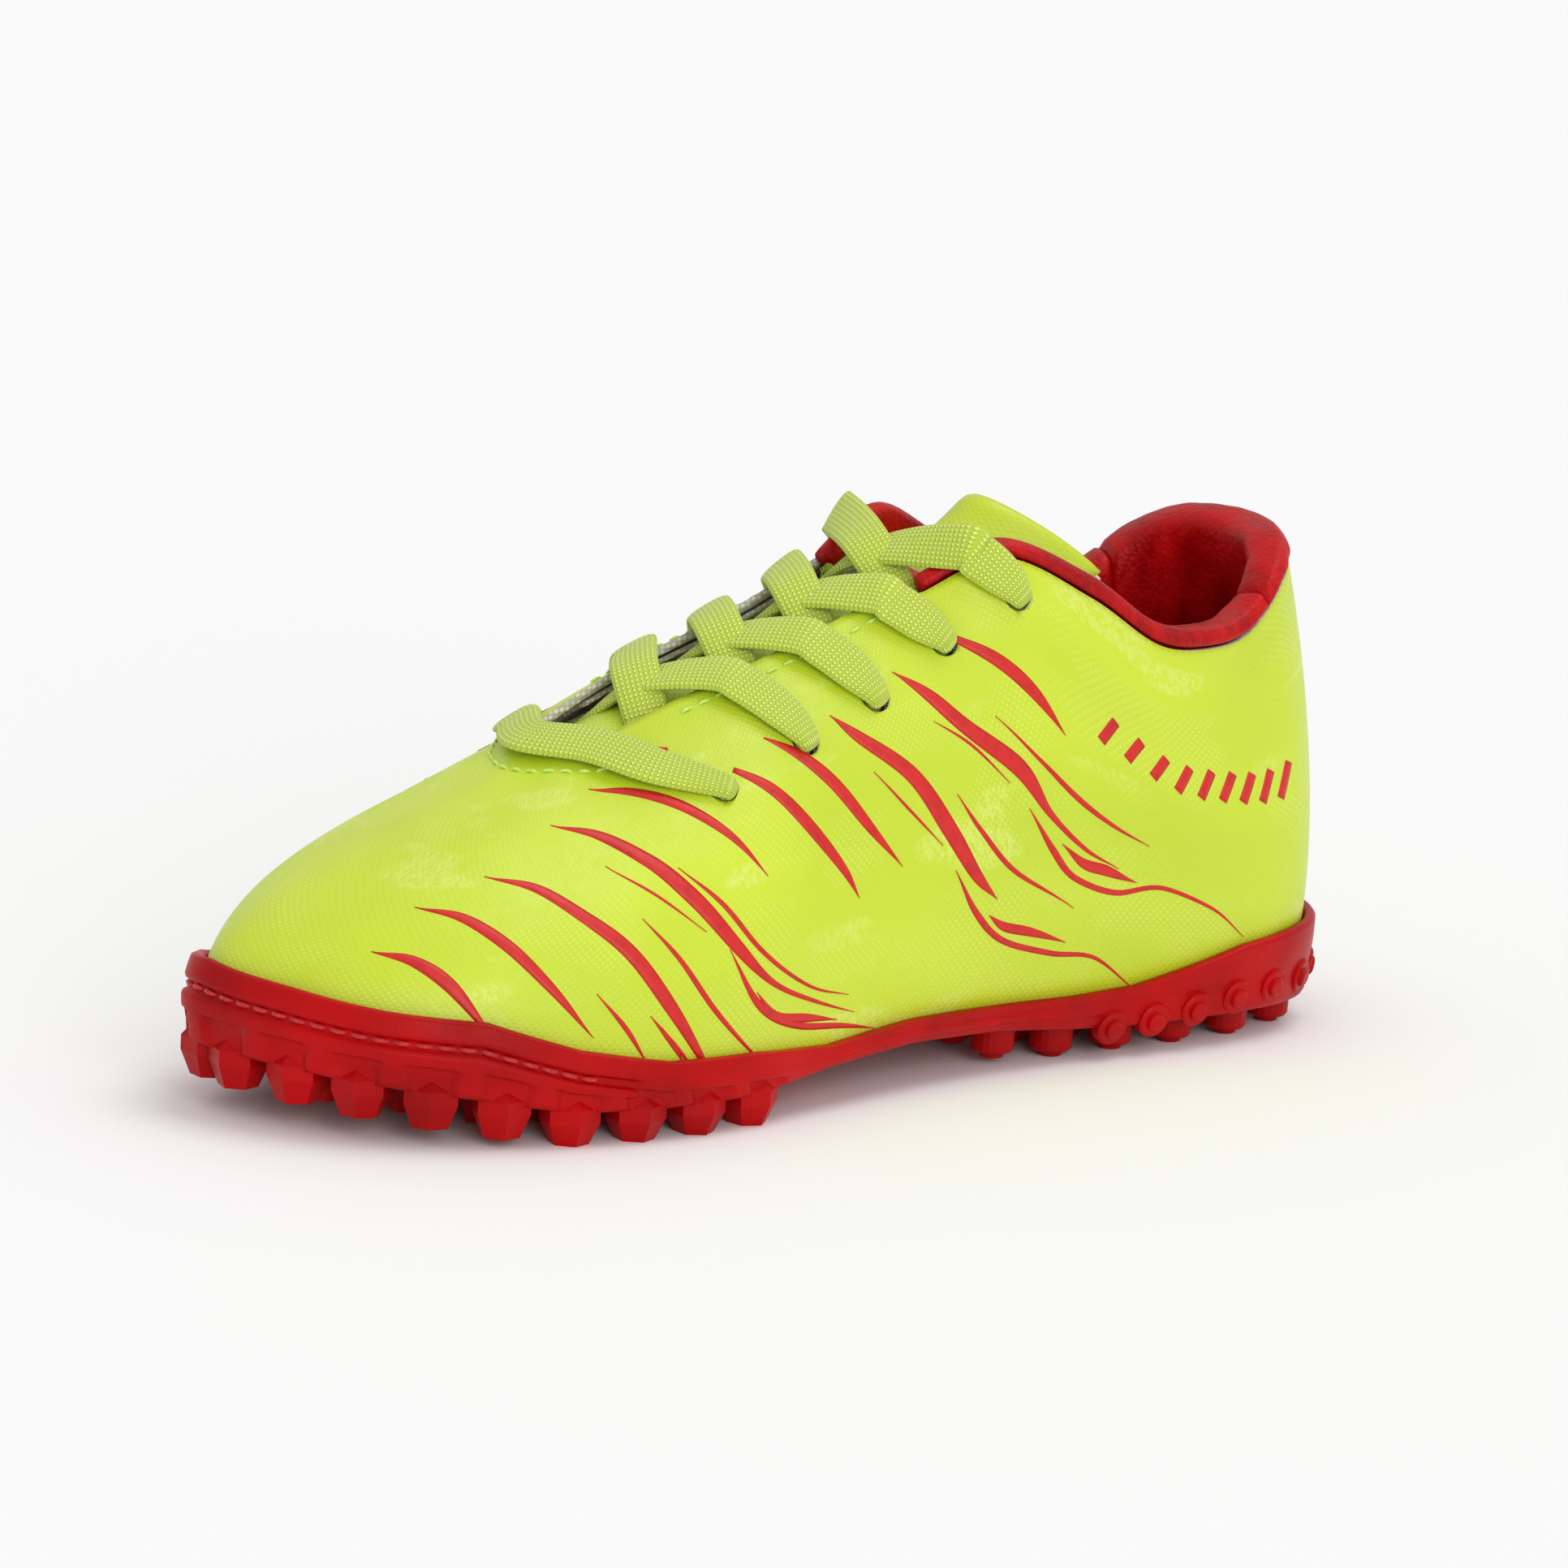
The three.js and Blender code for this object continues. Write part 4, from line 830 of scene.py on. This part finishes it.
def stripe_blocks():
    blocks = []
    bar_from, bar_to = (arc_from_toe(at) for at in BAR_STATIONS)
    for side in SIDES:
        for stripe in STRIPES:
            line = [(on_side(u, side), v) for u, v, _ in stripe]
            blocks.append(printed_strip(on_last, line, [SPREAD * width for _, _, width in stripe]))
        for share in np.linspace(0, 1, BAR_COUNT):
            u = float(station_at(bar_from + (bar_to - bar_from) * share))
            v = 0.625 - 0.12 * share
            ends = ((u - 0.16, v - 0.035), (u, v), (u + 0.16, v + 0.035))
            line = [(on_side(at, side), height) for at, height in ends]
            blocks.append(printed_strip(on_last, line, [BAR_WIDTH] * 3, 0.8))
    return blocks


stripes = make_piece("printed_stripes", *gather(stripe_blocks()), [ink])
bends_at_ball(stripes)

# ---------------------------------------------------------------- stiffeners and lining
# A thermoplastic puff in the toe and a counter in the heel, glued between upper and lining, and a
# red knitted lining in both quarters. Only the lining is ever seen, down inside the boot.
stiffener = Finish("stiffener_board", Roughness=0.7)
spot = stiffener.place()
mottle = stiffener.noise(spot, 300, 4)
mottled = stiffener.band(mottle, 0.3, 0.7)
stiffener.colour(stiffener.blend(mottled, paint(206, 200, 184), paint(236, 232, 220)))
stiffener.relief(mottle, 0.00015, 0.5)
for name in ("toe_puff", "heel_counter"):
    refinish(name, stiffener)

INSIDE = -THICKNESS - FIT
COUNTER_START, LINING_START, PAD_BOTTOM = 12, 7.5, 0.6
LINING_THICK = 0.9
lining_knit = knit("lining_knit", paint(104, 6, 10), paint(178, 16, 20), 0.0012)
stations = np.linspace(LINING_START, AROUND - LINING_START, 170)
sink = 1.8 * ease(from_toe(stations), COUNTER_START - 1.5, COUNTER_START - 0.5)
face = INSIDE - sink
points, faces, flat_pattern = layer(
    stations, 0.06, PAD_BOTTOM - 0.03, face, INSIDE - LINING_THICK - sink, 16
)
lining = make_piece("quarter_lining_cloth", points, faces, [lining_knit], flat_pattern)
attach(lining, "boot_rear")
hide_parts("quarter_lining")

# ---------------------------------------------------------------- eyestays
# A strip of the same synthetic on foam sewn inside each throat edge, punched with the upper. Its
# pale cut edge shows along the throat.
EYESTAY_START, EYESTAY_END = 5, 10.5


def eyestay(name, side, node):
    stations = np.linspace(EYESTAY_START, EYESTAY_END, 60)
    top = 0.985 - 0.1 * ease(stations, COLLAR_START - 0.5, COLLAR_START)
    around = on_side(stations, side)
    bottom = eyelet_share(stations) - 0.075
    points, faces, pattern = layer(around, bottom, top, INSIDE - 0.15, INSIDE - 0.95, 12)
    strip = make_piece(name, points, faces, [backing], pattern)
    punch_eyelets(strip, (side,))
    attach(strip, "boot_rear")
    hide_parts(node)


eyestay("eyestay_strip_outer", 1, "eyestay_outer")
eyestay("eyestay_strip_inner", -1, "eyestay_inner")

# ---------------------------------------------------------------- collar
# Red leatherette rolled over the top edge and sewn down inside over foam. It is thin in front and
# swells to a full pad round the ankle, in three panels with a seam at each side of the heel.
leatherette = Finish("red_leatherette", Roughness=0.4, Specular_IOR_Level=0.2)
spot = leatherette.place()
pebble = leatherette.cells(spot, 1100)
crease = leatherette.noise(leatherette.stretch(spot, 90, 260, 90), 1, 4, 0.6)
crease_shade = leatherette.band(crease, 0.3, 0.7)
# painted shade: the low furrows of the creases are painted darker than the leatherette's own red
leatherette.colour(leatherette.blend(crease_shade, paint(150, 0, 2), paint(192, 4, 8)))
leatherette.roughness(leatherette.band(crease, 0.3, 0.7, 0.32, 0.48))
hide = leatherette.sum("ADD", pebble, leatherette.sum("MULTIPLY", crease, 2.5))
leatherette.relief(hide, 0.00022, 0.5)

PAD_FACE = INSIDE - 0.35
ROLL_OVER = UPPER_TOP + 0.007
COLLAR_SPLIT = 14.5
PAD_CORNERS = 48
rng = np.random.default_rng(7)
folds = [
    (rng.uniform(2.2, 7), rng.uniform(0, 6.3), rng.uniform(-2, 2), rng.uniform(0, 6.3))
    for _ in range(14)
]


def wrinkles_at(u, around):
    """Small folds across the stuffed roll, in millimetres."""
    return sum(
        np.sin(pitch * u * 3 + lean * around + phase) * (0.5 + 0.5 * np.sin(around + place))
        for pitch, phase, lean, place in folds
    ) / len(folds)


def collar_pad(name, start, end, node):
    """One panel of the collar, swelling from the front to a full pad at the ankle."""

    def outline(low, thick):
        return [
            (low, PAD_FACE), (low + (ROLL_OVER - low) / 2, PAD_FACE), (ROLL_OVER, PAD_FACE),
            (ROLL_OVER + 0.002, -0.2), (0.968, 0.5), (0.99, -0.1), (1.004, -1.4),
            (0.995, PAD_FACE - 0.72 * thick), (0.955, PAD_FACE - 1.02 * thick),
            (low + 0.6 * (0.95 - low), PAD_FACE - 1.06 * thick),
            (low + 0.25 * (0.95 - low), PAD_FACE - 0.8 * thick), (low, PAD_FACE - 0.25 * thick),
        ]

    count = int(abs(end - start) * 12)
    stations = np.linspace(start, end, count + 1)
    rows = []
    for u in stations:
        full = float(ease(from_toe(u), 10.5, 12))
        section = np.array(outline(0.9 + (PAD_BOTTOM - 0.9) * full, 1.5 + 3.5 * full))
        ring_at = np.linspace(0, len(section), PAD_CORNERS, endpoint=False)
        smooth_ring = spline(section, ring_at, True)
        hidden = (ring_at < 3.2) | (ring_at > 11.5)
        fold = wrinkles_at(u, ring_at) * np.where(hidden, 0, 0.45 * (0.5 + 0.5 * full))
        to_seam = min(abs(u - start), abs(u - end))
        shrink = min(1.0, (to_seam + 0.02) / 0.12) ** 0.5
        middle = smooth_ring.mean(0)
        smooth_ring = middle + (smooth_ring - middle) * (0.86 + 0.14 * shrink)
        height, offset = smooth_ring.T
        folded = offset + fold * np.sign(offset - middle[1])
        rows.append(on_last(np.full(PAD_CORNERS, u), height, folded))
    faces = loft_faces(len(rows), PAD_CORNERS, False, "fan")
    pad = make_piece(name, np.concatenate(rows), faces, [leatherette])
    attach(pad, "boot_rear")
    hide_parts(node)


collar_pad("collar_outer", COLLAR_START, COLLAR_SPLIT - 0.01, "collar_pad_outer")
collar_pad("collar_heel", COLLAR_SPLIT + 0.01, AROUND - COLLAR_SPLIT - 0.01, "collar_pad_heel")
collar_pad("collar_inner", AROUND - COLLAR_SPLIT + 0.01, AROUND - COLLAR_START, "collar_pad_inner")

# ---------------------------------------------------------------- tongue
# A neon synthetic skin glued on a pale foam pad, sewn in at the front of the throat. Its broad
# top wraps back round the ankle.
# Its middle line: places and heights, in percent of LENGTH and COLLAR.
TONGUE_LINE = [
    (26.2, 58.5), (30, 61.2), (36, 66), (42.7, 72.5), (52, 82), (58.8, 90), (65, 99), (69.2, 107.5),
]
tongue_along, tongue_height = np.array(TONGUE_LINE).T
tongue_stops = np.c_[
    throat_middle(tongue_along / 100), (tongue_along / 100 - 0.5) * LENGTH, tongue_height / 100 * COLLAR
]
TONGUE_HALF, TONGUE_DROP, TONGUE_WRAP = 15.5, 11, 17
TONGUE_ROWS, TONGUE_COLUMNS = 90, 33


def tongue_face(s, t):
    """The tongue's top face: s runs across it from -1 to 1, t from its front to its top."""
    middle = spline(tongue_stops, t * (len(tongue_stops) - 1))
    drop = TONGUE_DROP * (0.5 + 0.5 * ease(t, 0.45, 0.8))
    width = TONGUE_HALF * (0.72 + 0.28 * ease(t, 0, 0.35))
    wrap = TONGUE_WRAP * ease(t, 0.62, 1) * s * s
    return middle + np.stack((width * s, wrap, -drop * s * s), -1)


def on_tongue(s, t, offset):
    ds = tongue_face(s + 0.02, t) - tongue_face(s - 0.02, t)
    dt = tongue_face(s, np.minimum(1, t + 0.01)) - tongue_face(s, np.maximum(0, t - 0.01))
    return tongue_face(s, t) + unit(np.cross(ds, dt)) * np.asarray(offset, float)[..., None]


def swell(s, t):
    """The foam pushes the tongue's skin up along its middle, between the throat's edges."""
    return 2.6 * ease(t, -0.1, 0.3) * (1 - 0.8 * ease(t, 0.65, 0.9)) * (1 - np.minimum(1, s * s)) ** 2


def tongue_layer(edge, outer, inner, puff):
    """Points, faces and flat pattern of a layer of the tongue between two offsets from its face."""
    along, across = np.linspace(0, 1, TONGUE_ROWS), np.linspace(-1, 1, TONGUE_COLUMNS)
    s = np.broadcast_to(across * edge, (TONGUE_ROWS, TONGUE_COLUMNS))
    t = along[:, None] * (1 - 0.02 * np.abs(s) ** 6)
    round_off = np.sqrt(np.clip(1 - (np.abs(across) ** 8)[None, :] * 0.9, 0, 1))
    tip = np.sqrt(np.clip(1 - ((along - 0.965) / 0.035).clip(0) ** 2, 0.02, 1))[:, None]
    body = (outer + inner) / 2
    half = (outer - inner) / 2 * round_off * tip
    raised = puff * swell(s, t) * tip
    top = on_tongue(s, t, body + half + raised)
    rows = np.concatenate((top, on_tongue(s, t, body - half)[:, ::-1]), 1)
    pattern = np.stack((s * TONGUE_HALF, t * 110 + 0 * s), -1)
    pattern = np.concatenate((pattern, pattern[:, ::-1]), 1).reshape(-1, 2)
    faces = loft_faces(TONGUE_ROWS, 2 * TONGUE_COLUMNS, False, "strip")
    return rows.reshape(-1, 3), faces, pattern


foam = Finish("pale_foam", Roughness=0.92)
spot = foam.place()
pores = foam.cells(spot, 1500)
# painted shade: the pores are painted darker in their pits; the foam itself is pale
foam.colour(foam.blend(foam.band(pores, 0.1, 0.6), paint(190, 184, 168), paint(228, 224, 208)))
foam.relief(pores, 0.0003, 0.7)


def folds_at_top(piece):
    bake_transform(piece)


tongue_foam = make_piece("tongue_pad", *tongue_layer(1.02, -1.05, -4.4, 0.0)[:2], [foam])
folds_at_top(tongue_foam)
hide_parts("tongue_foam", "tongue_top_foam")
points, faces, flat_pattern = tongue_layer(0.985, 0.0, -1.0, 1.0)
tongue_skin = make_piece("tongue_cover", points, faces, [neon], flat_pattern)
folds_at_top(tongue_skin)
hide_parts("tongue_skin", "tongue_top_skin")


def on_tongue_skin(s, t, offset):
    return on_tongue(s, t, offset + swell(s, t))


chevrons = []
for start in (0.66, 0.71, 0.76):
    line = [(-0.5, start + 0.02), (0.0, start), (0.5, start + 0.02)]
    chevrons.append(printed_strip(on_tongue_skin, line, (1.6, 2.6, 1.6), 0.9))
mark = make_piece("tongue_chevrons", *gather(chevrons), [ink])
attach(mark, "boot_rear")

# ---------------------------------------------------------------- lace
# One flat braided polyester lace, 8 mm wide. It lies straight across the front, then crosses over
# the tongue and goes down into each eyelet from outside. Its tails and tips are tucked in the boot.
LACE_WIDTH, LACE_THICK = 8.2, 1.8
ROLL_THICK = 1.5
lace_in = INSIDE - 0.8 - 2 * FIT - 0.9
lace_under_roll = PAD_FACE - ROLL_THICK - FIT - 0.8
lace_out, lace_over = 0.95, 1.7
low_strand, high_strand = 5.6, 8.0
braid = Finish("lace_braid", Roughness=0.75, Sheen_Weight=0.25)
flat = braid.place("flat")
axes = braid.add("SeparateXYZ", Vector=flat)
YARN = 0.85


def yarns(operation):
    """Yarns that lean one way across the lace."""
    leaning = braid.sum(operation, axes.outputs[1], axes.outputs[0])
    return braid.sum("SINE", braid.sum("MULTIPLY", leaning, math.pi / YARN), 0)


knots = braid.band(braid.sum("MULTIPLY", yarns("ADD"), yarns("SUBTRACT")), -0.5, 0.7)
tone = braid.noise(flat, 0.35, 3)
yarn_light = braid.blend(tone, paint(214, 234, 82), paint(226, 240, 112))
# painted shade: the sunken cells between the braid's raised knots are painted darker; the yarn's light tone
# varies at random
braid.colour(braid.blend(knots, paint(180, 204, 46), yarn_light))
braid.relief(knots, 0.0005, 0.8)


def eyelet_at(at, side):
    return on_side(at, side), float(eyelet_share(at)), side


def stop(u, v, offset, width, kind="strand"):
    """A stop of the lace's route: place, way out, width there, and what it is doing."""
    return on_last(u, v, offset), facing(u, v), width, kind


def through_eyelet(u, v, _):
    return [
        stop(u, v, lace_out, 4.4, "out"), stop(u, v, -0.9, 3.5, "hole"), stop(u, v, lace_in, 4.4, "in"),
    ]


def over_tongue(y, height, width):
    t = np.linspace(0, 1, 400)
    best = t[np.abs(tongue_face(0 * t, t)[:, 1] - y).argmin()]
    face = on_tongue(np.float64(0), best, 0.0)
    out = on_tongue(np.float64(0), best, 1.0) - face
    return face + out * height, out, width, "strand"


def edge_station(y, side):
    """The station where the throat's edge is this far along the boot."""
    at = np.linspace(3, 11, 400)
    return on_side(at[np.abs(skin(at, 1.0)[:, 1] - y).argmin()], side)


def strand_stop(share, eyelet, edge, offset, width):
    """A stop between an eyelet and the throat's edge."""
    u, v, _ = eyelet
    return stop(u + (edge - u) * share, v + (1 - v) * share, offset, width)


LEAVES_AHEAD, ARRIVES_AHEAD = 3, 8  # a strand passes the throat's edges ahead of its eyelets


def crossing(start, end, over):
    """A strand from inside one eyelet, under the throat's edge and over the tongue to the next."""
    leaving = edge_station(skin(start[0], start[1])[1] - LEAVES_AHEAD, start[2])
    arriving = edge_station(skin(end[0], end[1])[1] - ARRIVES_AHEAD, end[2])
    leave = stop(leaving, 0.98, lace_under_roll, 7.4)
    arrive = stop(arriving, 1.0, lace_over, LACE_WIDTH)
    halfway = (leave[0][1] + arrive[0][1]) / 2
    return [
        strand_stop(0.4, start, leaving, lace_in - 0.2, 6.2),
        strand_stop(0.75, start, leaving, lace_under_roll, 7.0),
        leave,
        over_tongue(halfway, high_strand if over else low_strand, LACE_WIDTH),
        arrive,
        strand_stop(0.7, end, arriving, lace_over, LACE_WIDTH),
        strand_stop(0.3, end, arriving, lace_out + 0.4, 7.4),
    ]


def lace_half(side):
    """The route from one front eyelet up to the top, crossing over each time, with a tucked tail."""
    holes = [eyelet_at(at, -side if i % 2 else side) for i, at in enumerate(EYELET_STATIONS)]
    stops = through_eyelet(*holes[0])
    for i in range(1, len(holes)):
        stops += crossing(holes[i - 1], holes[i], (i % 2 == 1) == (side > 0)) + through_eyelet(*holes[i])
    u, _, last_side = holes[-1]
    tail = (
        (0.15, 0.72, -5.6, 5.5), (0.3, 0.62, -6.6, 6.0), (0.5, 0.5, -7.2, 5.0), (0.7, 0.38, -7.2, 2.3),
    )
    return stops + [stop(u - back * last_side, v, offset, width) for back, v, offset, width in tail]


BAR_STATION, BAR_SHARE = 3.7, 0.955  # where the front strand passes the throat's corners


def bar_half(side):
    """The front strand from an eyelet to the corner of the throat."""
    u, v, _ = eyelet_at(EYELET_STATIONS[0], side)
    corner = on_side(BAR_STATION, side)
    between = stop(u + (corner - u) * 0.45, v + (BAR_SHARE - v) * 0.45, lace_over - 0.1, 7.6)
    return [between, stop(corner, BAR_SHARE, lace_over, LACE_WIDTH)]


bar_middle = stop(0.0, 0.998, lace_over + 0.6, LACE_WIDTH)
route = [
    *lace_half(-1)[::-1], *bar_half(-1), bar_middle, *bar_half(1)[::-1], *lace_half(1),
]

lace_points = np.array([r[0] for r in route])
lace_faces = np.array([r[1] for r in route])
lace_widths = np.array([r[2] for r in route])
kinds = [r[3] for r in route]
travel = np.gradient(lace_points, axis=0)
for i, kind in enumerate(kinds):
    if kind == "hole":  # in a hole the lace keeps the lie of the strand outside it
        ahead_of = i - 1 if kinds[i - 1] == "out" else i + 2
        travel[i - 1 : i + 2] = lace_points[ahead_of] - lace_points[ahead_of - 1]
side_ways = np.empty_like(lace_points)
flip = 1.0  # the lace turns its other face out each time it goes through a hole
for i, kind in enumerate(kinds):
    leaving_next = kind == "in" and kinds[min(i + 1, len(kinds) - 1)] == "hole"
    if leaving_next:
        flip = -flip
    side_ways[i] = flip * unit(np.cross(lace_faces[i], travel[i]))
    if kind == "in" and not leaving_next:
        flip = -flip
stops_at = np.linspace(0, len(route) - 1, (len(route) - 1) * 9 + 1)
centre = spline(lace_points, stops_at)
ahead = unit(np.gradient(centre, axis=0))
sideways = spline(side_ways, stops_at)
sideways = unit(sideways - ahead * (sideways * ahead).sum(1)[:, None])
upwards = np.cross(ahead, sideways)
width = spline(lace_widths[:, None], stops_at)[:, 0]
thick = LACE_THICK + 0.9 * ease(width, 7.0, 4.0)
LACE_CORNERS = 20
turns = np.linspace(0, 2 * math.pi, LACE_CORNERS, endpoint=False)
flat_x = np.sign(np.cos(turns)) * np.abs(np.cos(turns)) ** 0.75
flat_y = np.sign(np.sin(turns)) * np.abs(np.sin(turns)) ** 0.9
breadth = (flat_x * width[:, None] / 2)[..., None]
depth = (flat_y * thick[:, None] / 2)[..., None]
rows = centre[:, None] + sideways[:, None] * breadth + upwards[:, None] * depth
run = np.r_[0, np.cumsum(np.linalg.norm(np.diff(centre, axis=0), axis=1))]
pattern = np.empty((*rows.shape[:2], 2))
pattern[..., 0] = flat_x * LACE_WIDTH / 2
pattern[..., 1] = run[:, None]
faces = loft_faces(len(rows), LACE_CORNERS, False, "fan")
lace = make_piece("flat_lace", rows.reshape(-1, 3), faces, [braid], pattern.reshape(-1, 2))
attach(lace, "boot_rear")
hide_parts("lace")

tip_film = Finish("tip_film", Roughness=0.22, Coat_Weight=0.4, Coat_Roughness=0.1)
spot = tip_film.place()
wraps = tip_film.noise(tip_film.stretch(spot, 300, 300, 1500), 1, 3)
tip_film.colour(tip_film.blend(wraps, paint(196, 220, 120), paint(226, 240, 170)))
tip_film.relief(wraps, 0.0001, 0.4)
for name in ("aglet_outer", "aglet_inner"):
    refinish(name, tip_film)

# ---------------------------------------------------------------- stitching
# Lock stitches in bonded polyester thread: red in the toe groove of the sole, pale green across
# the front of the throat and down each eyestay. Each stitch dips into the face at both ends.


def stitch_blocks(line, stitch, gap, thread):
    """The stitches of a seam along a line of places and ways out."""
    line = np.asarray(line)
    run = np.r_[0, np.cumsum(np.linalg.norm(np.diff(line[:, :3], axis=0), axis=1))]
    along = np.linspace(0, 1, 7)
    for start in np.arange(0.3, run[-1] - stitch, stitch + gap):
        reach = start + along * stitch
        here = np.array([np.interp(reach, run, column) for column in line.T]).T
        heights = np.array((-0.35, 0.02, 0.16, 0.2, 0.16, 0.02, -0.35)) * thread / 0.7
        sizes = np.array((0.3, 0.8, 1, 1, 1, 0.8, 0.3)) * thread / 2
        centre = here[:, :3] + here[:, 3:] * heights[:, None]
        ahead = unit(np.gradient(centre, axis=0))
        side = unit(np.cross(here[:, 3:], ahead))
        up_way = np.cross(ahead, side)
        turns = np.linspace(0, 2 * math.pi, 8, endpoint=False)
        ring = side[:, None] * np.cos(turns)[:, None] + up_way[:, None] * np.sin(turns)[:, None]
        rows = centre[:, None] + ring * sizes[:, None, None]
        yield rows.reshape(-1, 3), loft_faces(7, 8, False, "fan")


def thread_finish(name, dark, light):
    thread = Finish(name, Roughness=0.6, Sheen_Weight=0.2)
    spot = thread.place()
    ply = thread.noise(thread.stretch(spot, 2500, 2500, 2500), 1, 2)
    thread.colour(thread.blend(thread.band(ply, 0.35, 0.65), dark, light))
    thread.relief(ply, 0.0001, 0.7)
    return thread


sole_thread = thread_finish("sole_thread", paint(170, 14, 18), paint(214, 30, 34))
upper_thread = thread_finish("upper_thread", paint(176, 216, 70), paint(214, 246, 128))


def seam_line(u, v, offset):
    return np.c_[on_last(u, v, offset), facing(u, v)]


def sew(name, line, thread, size, stitch, gap):
    """A seam along one line: thread size, stitch length and gap in millimetres."""
    return make_piece(name, *gather(list(stitch_blocks(line, stitch, gap, size))), [thread])


u = np.linspace(-4.4, 4.4, 120)
groove_v = wall_share(u % AROUND, row_value(RAND, u) - SEAM_DROP)
seam = sew("toe_stitches", seam_line(u, groove_v, WALL - 0.35), sole_thread, 0.75, 3.0, 0.5)
bends_at_ball(seam)
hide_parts("toe_seam_thread")

u = np.linspace(-3.6, 4.4, 90)
arc_v = 0.93 - 0.05 * ease(np.abs(u), 2, 4.4)
seam = sew("throat_stitches", seam_line(u, arc_v, 0.12), upper_thread, 0.55, 2.3, 0.7)
bends_at_ball(seam)
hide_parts("throat_arc_thread")

at = np.linspace(5.3, 8.7, 60)
for side, where in zip(SIDES, ("outer", "inner")):
    line = seam_line(on_side(at, side), 0.95 + 0 * at, 0.12)
    seam = sew("eyestay_stitches_" + where, line, upper_thread, 0.55, 2.6, 0.8)
    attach(seam, "boot_rear")
    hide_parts("eyestay_thread_" + where)
